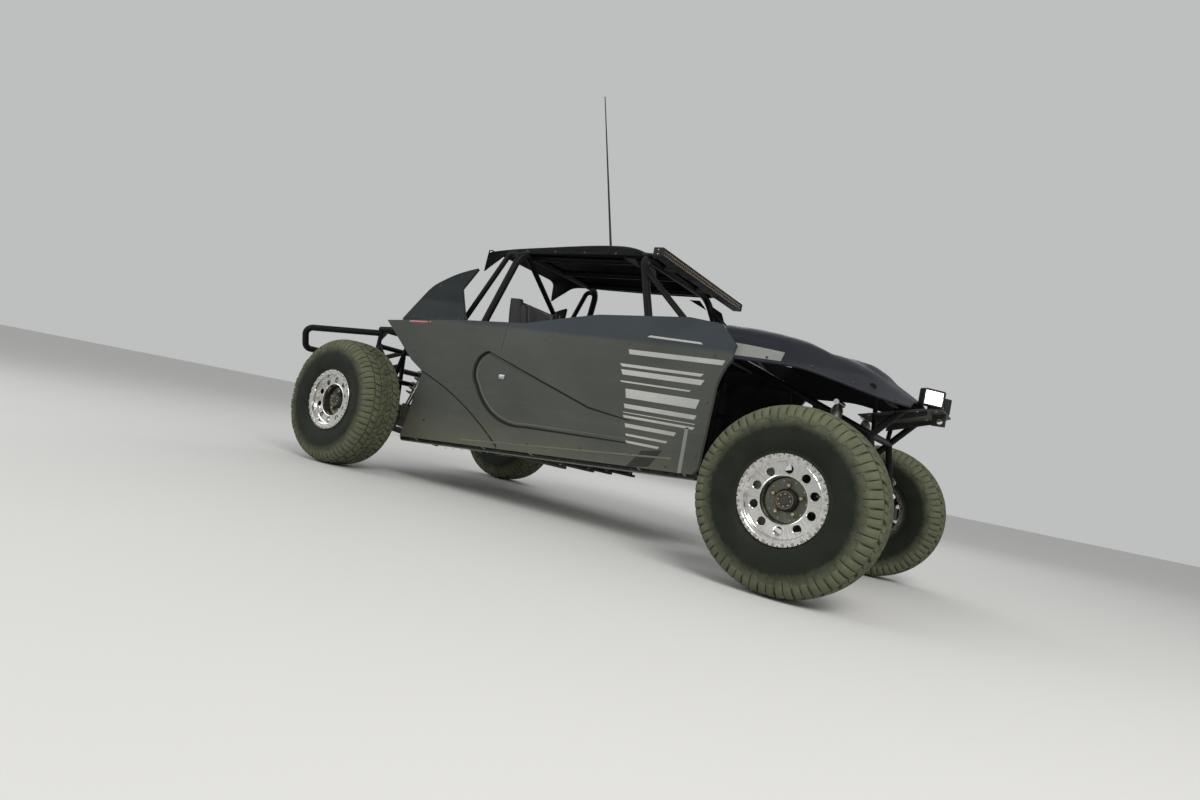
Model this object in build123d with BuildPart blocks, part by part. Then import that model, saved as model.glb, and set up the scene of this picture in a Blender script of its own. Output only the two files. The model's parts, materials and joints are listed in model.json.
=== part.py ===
from build123d import *
from math import cos, radians, sin, tan
import os

# A two-seat off-road racing buggy with a tube frame, moulded body panels and independent suspension.
# Millimetres: X forward, Y to the car's left, Z up from the ground; the origin is under the middle.

# Overall layout
wheelbase = 3300.0
front_overhang = 470.0
rear_overhang = 720.0
front_track = 1924.0
rear_track = 1904.0
half_length = (wheelbase + front_overhang + rear_overhang) / 2
front_axle_x = half_length - front_overhang
rear_axle_x = rear_overhang - half_length

# Wheels and tyres, measured outwards from the wheel's middle plane
tyre_radius = 445.0
tyre_width = 318.0
bead_radius = 191.0
rim_half_width = 127.0
rim_wall = 9.0
beadlock_radius = 212.0
beadlock_thickness = 14.0
ring_bore = 179.0
disc_face = 104.0
disc_thickness = 12.0
well_radius = 110.0
well_wall = 8.0
mount_face = 46.0
mount_thickness = 12.0
hub_bore_radius = 52.0
wheel_window_count = 10
wheel_window_radius = 20.0
wheel_window_circle = 142.0
brake_disc_radius = 145.0
brake_disc_thickness = 12.0
brake_disc_offset = -30.0
caliper_half_width = 30.0
caliper_clearance = 5.0
spindle_radius = 24.0
running_gap = 0.3
kingpin_inboard = 150.0
half_shaft_radius = 20.0
steering_arm_length = 130.0
axle_z = tyre_radius

# Frame tubes, as radii
hoop_tube = 25.0
frame_tube = 22.0
brace_tube = 19.0
strut_tube = 16.5
slim_tube = 13.0
tube_overrun = 12.0
hoop_bend = 110.0

# Body sides: the sill climbs towards the nose, the shoulder leans in above the crease
sill_rear_ahead = 380.0
sill_front_behind = 630.0
sill_rear_z = 285.0
sill_front_z = 458.0
side_half_width = 725.0
crease_z = 1150.0
shoulder_lean = 20.0
wall = 30.0
panel_gap = 6.0
pocket_depth = 20.0
rail_half_width = 640.0
rail_drop = 8.0
skid_thickness = 6.0
sheet = 6.0

# Cage
cage_top_z = 1738.0
cage_top_half_width = 500.0
main_hoop_foot_ahead = 640.0
main_hoop_top_ahead = 960.0
front_hoop_foot_behind = 1150.0
front_hoop_top_behind = 1340.0
cage_leg_half_width = 600.0
cage_knee_z = 1300.0
main_knee_z = 1180.0

# Rear and front frames
side_truss_half_width = 570.0
lower_truss_half_width = 300.0
nose_truss_half_width = 260.0


def ahead_of_rear(distance):
    """X of a station this far ahead of the rear axle."""
    return rear_axle_x + distance


def ahead_of_front(distance):
    """X of a station this far ahead of the front axle."""
    return front_axle_x + distance


sill_rear_x = ahead_of_rear(sill_rear_ahead)
sill_front_x = ahead_of_front(-sill_front_behind)
sill_slope = (sill_front_z - sill_rear_z) / (sill_front_x - sill_rear_x)


def sill_z(x):
    """Height of the side panels' lower edge at a station."""
    return sill_rear_z + sill_slope * (x - sill_rear_x)


def rail_z(x):
    """Height of the sill rails' centre line."""
    return sill_z(x) - rail_drop


def floor_top(x):
    """Height of the skid plate's upper face."""
    return rail_z(x) - frame_tube / 2


def side_y(z):
    """Half width of the body side's outer face at a height."""
    return side_half_width - max(0.0, z - crease_z) * tan(radians(shoulder_lean))


def rod(start, end, radius):
    """A straight round tube between two points."""
    start, end = Vector(*start), Vector(*end)
    with BuildPart() as straight:
        with BuildSketch(Plane(origin=start, z_dir=end - start)):
            Circle(radius)
        extrude(amount=(end - start).length)
    return straight.part


def bent_tube(points, radius, bend):
    """A round tube along a path of straight runs and bends."""
    with BuildPart() as bent:
        with BuildLine() as path:
            FilletPolyline(*points, radius=bend)
        with BuildSketch(Plane(origin=path.line @ 0, z_dir=path.line % 0)):
            Circle(radius)
        sweep()
    return bent.part


def side_plate(outline, y_from, y_to):
    """A plate with an outline of X and Z, between two values of Y."""
    with BuildPart() as plate:
        with BuildSketch(Plane.XZ.offset(-(y_from + y_to) / 2)):
            with BuildLine():
                Polyline(*outline, close=True)
            make_face()
        extrude(amount=abs(y_to - y_from) / 2, both=True)
    return plate.part


def block(x_from, x_to, y_from, y_to, z_from, z_to):
    """A box between two corners."""
    with BuildPart() as box:
        with Locations(((x_from + x_to) / 2, (y_from + y_to) / 2, (z_from + z_to) / 2)):
            Box(x_to - x_from, y_to - y_from, z_to - z_from)
    return box.part


def weld(*tubes):
    """Straight tubes of start, end and radius, welded into one frame."""
    with BuildPart() as frame:
        add([rod(*tube) for tube in tubes])
    return frame.part


def trim(part, *cutters, keep=1):
    """A piece cut back by its neighbours, without the slivers that leaves."""
    with BuildPart() as trimmed:
        add(part)
        for cutter in cutters:
            add(cutter.part, mode=Mode.SUBTRACT)
    return trimmed.part.solids().sort_by(SortBy.VOLUME)[-keep:]


def finish(part, name):
    """Labels a finished piece and writes it."""
    part.label = name
    export_step(part, f"parts/{name}.step")
    return part


os.makedirs("parts", exist_ok=True)

# Side panels: one wall with a crease, trimmed to the outline seen from the side
seam_rear = (ahead_of_rear(470), 769.0)
seam_middle = (ahead_of_rear(885), 610.0)
seam_foot = (ahead_of_rear(1285), 366.0)
tail_top = (ahead_of_rear(-12), 1108.0)
tail_notch = (ahead_of_rear(335), 838.0)
cockpit_rear = (ahead_of_rear(762), 1170.0)
cockpit_middle = (ahead_of_rear(1299), 1194.0)
cockpit_rise = (ahead_of_rear(1648), 1268.0)
door_front = (ahead_of_rear(1831), 1302.0)
cowl_side = (ahead_of_front(-853), 1337.0)
cowl_front = (ahead_of_front(-640), 1312.0)
panel_front_top = (ahead_of_front(-522), 1195.0)
panel_arch_top = (ahead_of_front(-522), 1112.0)
panel_arch_mid = (ahead_of_front(-567), 1030.0)
panel_arch_low = (ahead_of_front(-588), 900.0)
panel_front_low = (ahead_of_front(-600), 494.0)
shoulder_top_z = 1700.0


def side_wall(thickness, x_from, x_to, side):
    """The body side's wall, vertical up to the crease and leaning in above it."""
    lean = thickness / cos(radians(shoulder_lean))
    knee = crease_z - thickness * tan(radians(shoulder_lean / 2))
    with BuildPart() as wall_part:
        with BuildSketch(Plane.YZ.offset(x_from)):
            with BuildLine():
                Polyline(
                    (side * side_half_width, 200),
                    (side * side_half_width, crease_z),
                    (side * side_y(shoulder_top_z), shoulder_top_z),
                    (side * (side_y(shoulder_top_z) - lean), shoulder_top_z),
                    (side * (side_half_width - thickness), knee),
                    (side * (side_half_width - thickness), 200),
                    close=True,
                )
            make_face()
        extrude(amount=x_to - x_from)
    return wall_part.part


with BuildPart() as panel_outline:
    with BuildSketch(Plane.XZ):
        with BuildLine():
            Polyline(tail_top, tail_notch, seam_rear)
            ThreePointArc(seam_rear, seam_middle, seam_foot)
            Polyline(
                seam_foot,
                (seam_foot[0], sill_z(seam_foot[0])),
                (sill_front_x, sill_front_z),
                panel_front_low,
                panel_arch_low,
            )
            ThreePointArc(panel_arch_low, panel_arch_mid, panel_arch_top)
            Polyline(
                panel_arch_top,
                panel_front_top,
                cowl_front,
                cowl_side,
                door_front,
                cockpit_rise,
                cockpit_middle,
                cockpit_rear,
                tail_top,
            )
        make_face()
    extrude(amount=900, both=True)

# Teardrop pocket, deepest at its rear and running out towards the front
pocket_rear_x = ahead_of_rear(940)
pocket_front_x = ahead_of_front(-950)
pocket_high = (pocket_rear_x + 110, 979)
pocket_break = (ahead_of_front(-1375), 726)
pocket_nose_high = (pocket_front_x - 65, 683)
pocket_nose_low = (pocket_front_x - 55, 556)
pocket_belly = (pocket_rear_x + 525, 519)
pocket_back = (pocket_rear_x + 45, 737)
with BuildPart() as pocket_outline:
    with BuildSketch(Plane.XZ):
        with BuildLine():
            Polyline(pocket_high, pocket_break, pocket_nose_high)
            ThreePointArc(pocket_nose_high, (pocket_front_x, 618), pocket_nose_low)
            Line(pocket_nose_low, pocket_belly)
            ThreePointArc(pocket_belly, (pocket_rear_x + 185, 590), pocket_back)
            ThreePointArc(pocket_back, (pocket_rear_x + 4, 880), pocket_high)
        make_face()
    extrude(amount=900, both=True)


def side_panel(side):
    """One side's main panel with its pocket."""
    with BuildPart() as pocket:
        with BuildSketch(Plane.XY.offset(400)):
            with BuildLine():
                Polyline(
                    (pocket_rear_x, side * (side_half_width + 1)),
                    (pocket_rear_x, side * (side_half_width - pocket_depth)),
                    (pocket_front_x, side * side_half_width),
                    (pocket_front_x, side * (side_half_width + 1)),
                    close=True,
                )
            make_face()
        extrude(amount=650)
        add(pocket_outline.part, mode=Mode.INTERSECT)
    with BuildPart() as panel:
        add(side_wall(wall, tail_top[0] - 50, panel_front_top[0] + 50, side))
        add(panel_outline.part, mode=Mode.INTERSECT)
    return trim(panel.part, pocket)


with BuildPart() as side_panels:
    for side in (-1, 1):
        add(side_panel(side))
finish(side_panels.part, "side_panels")

# Lower rear panels under the curved seam
with BuildPart() as rear_panel_outline:
    with BuildSketch(Plane.XZ):
        with BuildLine():
            ThreePointArc(
                (seam_rear[0], seam_rear[1] - panel_gap),
                (seam_middle[0], seam_middle[1] - panel_gap),
                (seam_foot[0] - panel_gap, seam_foot[1] - panel_gap),
            )
            Polyline(
                (seam_foot[0] - panel_gap, seam_foot[1] - panel_gap),
                (seam_foot[0] - panel_gap, sill_z(seam_foot[0] - panel_gap)),
                (sill_rear_x, sill_rear_z),
                (seam_rear[0], seam_rear[1] - panel_gap),
            )
        make_face()
    extrude(amount=900, both=True)
with BuildPart() as rear_lower_panels:
    for side in (-1, 1):
        add(side_wall(wall, sill_rear_x - 50, seam_foot[0] + 50, side))
    add(rear_panel_outline.part, mode=Mode.INTERSECT)
finish(rear_lower_panels.part, "rear_lower_panels")

# Quarter fins carry the shoulder's lean on up behind the cage
fin_thickness = 20.0
fin_tip = (ahead_of_rear(643), 1576)
fin_brow = (ahead_of_rear(470), 1518)
fin_back = (ahead_of_rear(290), 1401)
fin_foot = (ahead_of_rear(150), 1118)
with BuildPart() as fin_outline:
    with BuildSketch(Plane.XZ):
        with BuildLine():
            Polyline(fin_foot, cockpit_rear, (ahead_of_rear(588), 1409), fin_tip)
            ThreePointArc(fin_tip, fin_brow, fin_back)
            Line(fin_back, fin_foot)
        make_face()
    extrude(amount=900, both=True)
with BuildPart() as quarter_fins:
    for side in (-1, 1):
        add(side_wall(fin_thickness, ahead_of_rear(-100), cockpit_rear[0] + 50, side))
    add(fin_outline.part, mode=Mode.INTERSECT)
    add(side_panels.part, mode=Mode.SUBTRACT)
finish(quarter_fins.part, "quarter_fins")

# Floor: a flat skid plate between two sill rails, outriggers for the panels and ears for the arms
rail_rear_x = sill_rear_x - 60
rail_front_x = sill_front_x - 10
arm_pivot_x = ahead_of_rear(780)
arm_pivot_y = 420.0
arm_pivot_length = 130.0
arm_pivot_radius = 32.0
arm_pivot_z = sill_z(arm_pivot_x) + 52
ear_thickness = 10.0
outrigger_stations = [sill_rear_x + 120, seam_foot[0] - 150, seam_foot[0] + 250, sill_front_x - 350, sill_front_x - 60]
with BuildPart() as floor_pan:
    plate_line = [
        (rail_rear_x, floor_top(rail_rear_x)),
        (rail_front_x, floor_top(rail_front_x)),
        (rail_front_x, floor_top(rail_front_x) - skid_thickness),
        (rail_rear_x, floor_top(rail_rear_x) - skid_thickness),
    ]
    add(side_plate(plate_line, -rail_half_width, rail_half_width))
    for side in (-1, 1):
        y = side * rail_half_width
        add(rod((rail_rear_x, y, rail_z(rail_rear_x)), (rail_front_x, y, rail_z(rail_front_x)), frame_tube))
        for x in outrigger_stations:
            add(rod((x, y, rail_z(x)), (x, side * (side_half_width - wall / 2), sill_z(x) + 16), slim_tube))
        for face in (-1, 1):
            inner = side * arm_pivot_y + face * arm_pivot_length / 2
            ear = [
                (arm_pivot_x - 70, floor_top(arm_pivot_x) - skid_thickness / 2),
                (arm_pivot_x + 70, floor_top(arm_pivot_x) - skid_thickness / 2),
                (arm_pivot_x + 30, arm_pivot_z + 40),
                (arm_pivot_x - 30, arm_pivot_z + 40),
            ]
            add(side_plate(ear, inner, inner + face * ear_thickness))
    add(trim(floor_pan.part, side_panels, rear_lower_panels), mode=Mode.REPLACE)
finish(floor_pan.part, "floor_pan")

# Main hoop behind the seats, leaning forward as it rises
main_hoop_lean = (main_hoop_top_ahead - main_hoop_foot_ahead) / (cage_top_z - sill_z(ahead_of_rear(main_hoop_foot_ahead)))


def on_main_hoop(z):
    """X of the main hoop's plane at a height."""
    return ahead_of_rear(main_hoop_top_ahead) - (cage_top_z - z) * main_hoop_lean


def leg_y(z, knee_z):
    """Half width of a hoop's leg, straight up to its knee and leaning in above it."""
    share = max(0.0, z - knee_z) / (cage_top_z - knee_z)
    return cage_leg_half_width + (cage_top_half_width - cage_leg_half_width) * share


main_foot_z = floor_top(ahead_of_rear(main_hoop_foot_ahead)) - skid_thickness / 2
panel_tie_z = 900.0
with BuildPart() as main_hoop:
    hoop_path = [
        (on_main_hoop(main_foot_z), -cage_leg_half_width, main_foot_z),
        (on_main_hoop(main_knee_z), -cage_leg_half_width, main_knee_z),
        (on_main_hoop(cage_top_z), -cage_top_half_width, cage_top_z),
        (on_main_hoop(cage_top_z), cage_top_half_width, cage_top_z),
        (on_main_hoop(main_knee_z), cage_leg_half_width, main_knee_z),
        (on_main_hoop(main_foot_z), cage_leg_half_width, main_foot_z),
    ]
    add(bent_tube(hoop_path, hoop_tube, hoop_bend))
    for z in (560, 1135):
        add(rod((on_main_hoop(z), -cage_leg_half_width, z), (on_main_hoop(z), cage_leg_half_width, z), frame_tube))
    add(rod((on_main_hoop(1135), 590, 1135), (on_main_hoop(1720), -420, 1720), brace_tube))
    for side in (-1, 1):
        tie_x = on_main_hoop(panel_tie_z)
        tie_end = side * (side_half_width - wall / 2)
        add(rod((tie_x, side * cage_leg_half_width, panel_tie_z), (tie_x, tie_end, panel_tie_z), slim_tube))
    add(trim(main_hoop.part, floor_pan, side_panels), mode=Mode.REPLACE)
finish(main_hoop.part, "main_hoop")

# Front hoop: upright legs, then pillars leaning back to the roof's front edge
front_leg_x = ahead_of_front(-front_hoop_foot_behind)
front_top_x = ahead_of_front(-front_hoop_top_behind)
front_foot_z = floor_top(front_leg_x) - skid_thickness / 2
with BuildPart() as front_hoop:
    hoop_path = [
        (front_leg_x, -cage_leg_half_width, front_foot_z),
        (front_leg_x, -cage_leg_half_width, cage_knee_z),
        (front_top_x, -cage_top_half_width, cage_top_z),
        (front_top_x, cage_top_half_width, cage_top_z),
        (front_leg_x, cage_leg_half_width, cage_knee_z),
        (front_leg_x, cage_leg_half_width, front_foot_z),
    ]
    add(bent_tube(hoop_path, hoop_tube, hoop_bend))
    add(rod((front_leg_x, -cage_leg_half_width, 1120), (front_leg_x, cage_leg_half_width, 1120), frame_tube))
    for side in (-1, 1):
        tie_end = side * (side_half_width - wall / 2)
        add(rod(
            (front_leg_x, side * cage_leg_half_width, panel_tie_z),
            (front_leg_x, tie_end, panel_tie_z),
            slim_tube,
        ))
    add(trim(front_hoop.part, floor_pan, side_panels), mode=Mode.REPLACE)
finish(front_hoop.part, "front_hoop")

# Side trusses of the rear frame, with the lower frame that carries the drive unit
truss_front_x = on_main_hoop(1135)
truss_front_z = 1125.0
truss_tail_x = ahead_of_rear(-240)
truss_tail_z = 1050.0
truss_slope = (truss_front_z - truss_tail_z) / (truss_front_x - truss_tail_x)


def truss_z(x):
    """Height of the rear frame's top rail."""
    return truss_tail_z + truss_slope * (x - truss_tail_x)


tail_knee_z = 918.0
tail_low_x = ahead_of_rear(11)
tail_low_z = 670.0
shock_top_x = ahead_of_rear(445)
belly_rear_x = ahead_of_rear(-175)
belly_rear_z = 300.0
truss_top_x = ahead_of_rear(120)
rear_tubes = [
    ((x, -half, z), (x, half, z), radius)
    for x, z, half, radius in (
        (truss_tail_x, truss_tail_z, side_truss_half_width, brace_tube),
        (truss_tail_x, tail_knee_z, side_truss_half_width, brace_tube),
        (tail_low_x, tail_low_z, side_truss_half_width, brace_tube),
        (shock_top_x, truss_z(shock_top_x), side_truss_half_width, brace_tube),
        (belly_rear_x, belly_rear_z, lower_truss_half_width, brace_tube),
    )
]
for side in (-1, 1):
    y = side * side_truss_half_width
    low_y = side * lower_truss_half_width
    belly_front = (rail_rear_x + 20, low_y, floor_top(rail_rear_x) + 3)
    rear_tubes += [
        ((truss_front_x, y, truss_front_z), (truss_tail_x - tube_overrun, y, truss_tail_z), frame_tube),
        ((truss_tail_x, y, truss_tail_z), (truss_tail_x, y, tail_knee_z), strut_tube),
        ((truss_tail_x, y, tail_knee_z), (tail_low_x, y, tail_low_z), frame_tube),
        ((tail_low_x, y, tail_low_z), (truss_top_x, y, truss_z(truss_top_x)), strut_tube),
        (belly_front, (belly_rear_x - tube_overrun, low_y, belly_rear_z), frame_tube),
        ((belly_rear_x, low_y, belly_rear_z), (truss_tail_x, low_y, tail_knee_z), strut_tube),
        (belly_front, (tail_low_x, low_y, tail_low_z), strut_tube),
    ]
with BuildPart() as rear_frame:
    add(trim(weld(*rear_tubes), main_hoop, floor_pan))
finish(rear_frame.part, "rear_frame")

# Rear bumper: one bent tube from the frame's two tail corners, on two pairs of struts
bumper_radius = 24.0
bumper_bend = 60.0
bumper_x = -half_length + bumper_radius
bumper_z = 790.0
bumper_half_width = 880.0
bumper_shoulder = (bumper_x + 26, 935.0, 945.0)
bumper_root_z = truss_tail_z - 30
strut_low_z = 700.0
tow_eye_radius = 15.0
tow_eye_length = 12.0
with BuildPart() as rear_bumper:
    bumper_half = [
        (truss_tail_x, side_truss_half_width, bumper_root_z),
        bumper_shoulder,
        (bumper_x, bumper_half_width, bumper_z),
    ]
    bumper_path = bumper_half + [(x, -y, z) for x, y, z in reversed(bumper_half)]
    add(bent_tube(bumper_path, bumper_radius, bumper_bend))
    for side in (-1, 1):
        y = side * lower_truss_half_width
        add(rod((truss_tail_x, y, tail_knee_z), (bumper_x, y, bumper_z), brace_tube))
        add(rod((truss_tail_x + 25, y, strut_low_z), (bumper_x, y, bumper_z), slim_tube))
    rear_tow = [
        (bumper_x - 5, bumper_z - 20), (bumper_x + 45, bumper_z - 20),
        (bumper_x + 45, bumper_z - 80), (bumper_x - 5, bumper_z - 80),
    ]
    add(side_plate(rear_tow, -tow_eye_length / 2, tow_eye_length / 2))
    rear_eye_x, rear_eye_z = bumper_x + 20, bumper_z - 50
    with Locations(Location((rear_eye_x, 0, rear_eye_z), (90, 0, 0))):
        Cylinder(tow_eye_radius, 2 * tow_eye_length, mode=Mode.SUBTRACT)
    add(trim(rear_bumper.part, rear_frame), mode=Mode.REPLACE)
finish(rear_bumper.part, "rear_bumper")

# Roof rails, windscreen pillars with the cowl bar, and rear stays
cowl_x = ahead_of_front(-800)
cowl_z = 1235.0
pillar_top_z = 1650.0
pillar_top_x = front_leg_x + (front_top_x - front_leg_x) * (pillar_top_z - cage_knee_z) / (cage_top_z - cage_knee_z)
roof_rail_y = 360.0
stay_top_x = ahead_of_rear(865)
with BuildPart() as cage_braces:
    for y in (-roof_rail_y, 0, roof_rail_y):
        add(rod((on_main_hoop(cage_top_z), y, cage_top_z), (front_top_x, y, cage_top_z), frame_tube))
    for side in (-1, 1):
        add(rod(
            (pillar_top_x, side * leg_y(pillar_top_z, cage_knee_z), pillar_top_z),
            (cowl_x, side * cage_leg_half_width, cowl_z),
            brace_tube,
        ))
        add(bent_tube(
            [
                (on_main_hoop(1700), side * leg_y(1700, main_knee_z), 1700),
                (stay_top_x, side * 505, 1732),
                (ahead_of_rear(560), side * side_truss_half_width, truss_z(ahead_of_rear(560))),
            ],
            brace_tube,
            50,
        ))
    cowl_bar_y = side_y(cowl_z) - wall / 2
    add(rod((cowl_x, -cowl_bar_y, cowl_z), (cowl_x, cowl_bar_y, cowl_z), frame_tube))
    add(trim(cage_braces.part, main_hoop, front_hoop, rear_frame, side_panels, keep=6), mode=Mode.REPLACE)
finish(cage_braces.part, "cage_braces")

# Front frame: two side trusses from the floor and the cowl bar to the nose
nose_low_x = ahead_of_front(215)
nose_low_z = 500.0
nose_high_x = ahead_of_front(150)
nose_high_z = 862.0
plate_rear = (ahead_of_front(74), 961.0)
plate_front = (ahead_of_front(front_overhang - 2), 1060.0)
frame_knee = (ahead_of_front(-190), 480.0)
frame_brow = (ahead_of_front(-330), 1052.0)
hood_bar_z = 1100.0
rack_x = front_axle_x - steering_arm_length
rack_z = axle_z - 60
rack_radius = 20.0
bearing_y = 150.0
rail_share = (rack_x - rail_front_x) / (nose_low_x - rail_front_x)
rack_tube_z = floor_top(rail_front_x) + (nose_low_z - floor_top(rail_front_x)) * rail_share
nose_tubes = [
    ((x, -nose_truss_half_width, z), (x, nose_truss_half_width, z), brace_tube)
    for x, z in ((nose_low_x, nose_low_z), (nose_high_x, nose_high_z), frame_brow)
]
nose_tubes += [
    ((nose_high_x, -430, hood_bar_z), (nose_high_x, 430, hood_bar_z), brace_tube),
    ((rack_x, -nose_truss_half_width, rack_tube_z), (rack_x, nose_truss_half_width, rack_tube_z), strut_tube),
]
for side in (-1, 1):
    y = side * nose_truss_half_width
    nose_tubes += [
        ((rail_front_x - 20, y, floor_top(rail_front_x) + 3), (nose_low_x, y, nose_low_z), frame_tube),
        ((cowl_x, y, cowl_z), (nose_high_x, y, nose_high_z), brace_tube),
        ((nose_low_x, y, nose_low_z), (nose_high_x, y, nose_high_z), brace_tube),
        ((nose_high_x, y, nose_high_z), (ahead_of_front(290), y, 1020), brace_tube),
        ((frame_knee[0], y, frame_knee[1]), (nose_high_x, y, nose_high_z), brace_tube),
        ((frame_knee[0], y, frame_knee[1]), (frame_brow[0], y, frame_brow[1]), brace_tube),
        ((nose_high_x, side * 200, nose_high_z), (nose_high_x, side * 300, hood_bar_z), slim_tube),
    ]
with BuildPart() as front_frame:
    add(trim(weld(*nose_tubes), cage_braces, floor_pan))
    for side in (-1, 1):
        y = side * bearing_y
        add(block(rack_x - 14, rack_x + 14, y - 15, y + 15, rack_z, rack_tube_z))
        add(rod((rack_x, y - 20, rack_z), (rack_x, y + 20, rack_z), rack_radius + 12))
        add(rod((rack_x, y - 40, rack_z), (rack_x, y + 40, rack_z), rack_radius + running_gap), mode=Mode.SUBTRACT)
finish(front_frame.part, "front_frame")

# Nose plate under the hood's tip, with the front tow eye
nose_plate_slope = (plate_front[1] - plate_rear[1]) / (plate_front[0] - plate_rear[0])
with BuildPart() as nose_plate:
    plate_line = [
        plate_rear, plate_front,
        (plate_front[0], plate_front[1] - sheet), (plate_rear[0], plate_rear[1] - sheet),
    ]
    with BuildSketch(Plane.XY.offset(900)):
        with BuildLine():
            Polyline(
                (plate_rear[0], -300), (plate_front[0] - 80, -270), (plate_front[0], -190),
                (plate_front[0], 190), (plate_front[0] - 80, 270), (plate_rear[0], 300),
                close=True,
            )
        make_face()
    extrude(amount=300)
    add(side_plate(plate_line, -400, 400), mode=Mode.INTERSECT)
    for side in (-1, 1):
        rib = [
            (plate_rear[0] + 60, plate_rear[1] + 12), (plate_front[0] - 70, plate_front[1] - 20),
            (plate_front[0] - 70, plate_front[1] - 44), (plate_rear[0] + 60, plate_rear[1] - 30),
        ]
        add(side_plate(rib, side * 185, side * 191))
    front_eye_x, front_eye_z = plate_front[0] - 30, plate_front[1] - 48
    front_tow = [
        (plate_front[0] - 70, plate_front[1] - 20), (plate_front[0], plate_front[1] - 3),
        (plate_front[0], plate_front[1] - 75), (plate_front[0] - 70, plate_front[1] - 75),
    ]
    add(side_plate(front_tow, -tow_eye_length / 2, tow_eye_length / 2))
    with Locations(Location((front_eye_x, 0, front_eye_z), (90, 0, 0))):
        Cylinder(tow_eye_radius, 2 * tow_eye_length, mode=Mode.SUBTRACT)
    add(trim(nose_plate.part, front_frame), mode=Mode.REPLACE)
finish(nose_plate.part, "nose_plate")

# Hood: a ruled shell of few sections, each a crown arc and two flat sides
hood_shell = 10.0
hood_sections = [
    # ahead of the front axle, low half width, low z, edge half width, edge z, crown z
    (-640, 718, 1120, 664, 1306, 1382),
    (-440, 702, 1122, 610, 1302, 1374),
    (-200, 642, 1124, 508, 1280, 1339),
    (-40, 574, 1098, 438, 1236, 1291),
    (90, 512, 1068, 382, 1190, 1241),
    (220, 442, 1042, 320, 1127, 1167),
    (335, 355, 1030, 262, 1066, 1096),
]


def hood_loft(inset):
    """The hood's body, drawn in by an inset."""
    with BuildPart() as loft_part:
        for ahead, low_y, low_z, edge_y, edge_z, crown_z in hood_sections:
            with BuildSketch(Plane.YZ.offset(ahead_of_front(ahead))):
                with BuildLine():
                    bottom = low_z - inset * 3
                    low, edge, top = low_y - inset * 1.2, edge_y - inset * 0.8, crown_z - inset
                    Line((-low, bottom), (-edge, edge_z - inset))
                    ThreePointArc((-edge, edge_z - inset), (0, top), (edge, edge_z - inset))
                    Line((edge, edge_z - inset), (low, bottom))
                    Line((low, bottom), (-low, bottom))
                make_face()
        loft(ruled=True)
    return loft_part.part


with BuildPart() as hood:
    add(hood_loft(0))
    add(hood_loft(hood_shell), mode=Mode.SUBTRACT)
    add(trim(hood.part, side_panels, front_frame), mode=Mode.REPLACE)
finish(hood.part, "hood")

# Rear deck between the fins, with vent slots over the drive
with BuildPart() as rear_deck:
    deck_front_x, deck_rear_x = ahead_of_rear(740), ahead_of_rear(-5)
    deck_line = [
        (deck_front_x, truss_z(deck_front_x) + frame_tube),
        (deck_front_x, truss_z(deck_front_x) + frame_tube + sheet),
        (deck_rear_x, truss_z(deck_rear_x) + frame_tube + sheet),
        (deck_rear_x, truss_z(deck_rear_x) + frame_tube),
    ]
    add(side_plate(deck_line, -710, 710))
    with BuildSketch(Plane.XY.offset(1000)):
        for ahead in (90, 150, 210, 270, 330):
            with Locations((ahead_of_rear(ahead), -200), (ahead_of_rear(ahead), 200)):
                SlotOverall(300, 24, rotation=90)
    extrude(amount=300, mode=Mode.SUBTRACT)
    add(trim(rear_deck.part, side_panels, quarter_fins, cage_braces, rear_frame), mode=Mode.REPLACE)
finish(rear_deck.part, "rear_deck")

# Roof: a hollow wedge that opens to the rear as an air scoop
roof_shell = 8.0
roof_sections = [
    # behind the front axle, low half width, low z, top half width, top z
    (-1296, 480, 1738, 470, 1757),
    (-1670, 470, 1738, 300, 1877),
    (-2503, 440, 1738, 350, 1812),
    (-2732, 430, 1604, 415, 1773),
]


def roof_loft(inset, drop):
    """The roof's body, drawn in by an inset and lengthened below by a drop."""
    with BuildPart() as loft_part:
        for ahead, low_y, low_z, top_y, top_z in roof_sections:
            with BuildSketch(Plane.YZ.offset(ahead_of_front(ahead))):
                with BuildLine():
                    low, top = low_y - inset, top_y - inset
                    Polyline(
                        (-low, low_z - drop), (-top, top_z - inset),
                        (top, top_z - inset), (low, low_z - drop), close=True,
                    )
                make_face()
        loft(ruled=True)
    return loft_part.part


with BuildPart() as roof_panel:
    add(roof_loft(0, 0))
    add(roof_loft(roof_shell, 1), mode=Mode.SUBTRACT)
    add(trim(roof_panel.part, front_hoop, main_hoop, cage_braces), mode=Mode.REPLACE)
finish(roof_panel.part, "roof_panel")

# Roof light bar on two brackets, with its lens set into the front face
bar_rear_x = ahead_of_front(-1185)
bar_front_x = ahead_of_front(-1115)
bar_low_z, bar_high_z = 1690.0, 1746.0
bar_half_width = 650.0
lens_depth = 12.0
with BuildPart() as light_bar:
    add(block(bar_rear_x, bar_front_x, -bar_half_width, bar_half_width, bar_low_z, bar_high_z))
    fillet(light_bar.edges().filter_by(Axis.Y), 6)
    add(
        block(bar_front_x - lens_depth, bar_front_x + 1, -bar_half_width + 12, bar_half_width - 12,
              bar_low_z + 9, bar_high_z - 9),
        mode=Mode.SUBTRACT,
    )
    for side in (-1, 1):
        bracket = [
            (front_top_x, cage_top_z - 14), (front_top_x, cage_top_z + 4),
            (bar_rear_x + 5, cage_top_z + 4), (bar_rear_x + 5, bar_low_z + 12),
        ]
        add(side_plate(bracket, side * 250, side * 256))
    add(trim(light_bar.part, front_hoop, roof_panel), mode=Mode.REPLACE)
finish(light_bar.part, "light_bar")
with BuildPart() as light_bar_lens:
    add(block(bar_front_x - lens_depth, bar_front_x - 3, -bar_half_width + 12, bar_half_width - 12,
              bar_low_z + 9, bar_high_z - 9))
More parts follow.
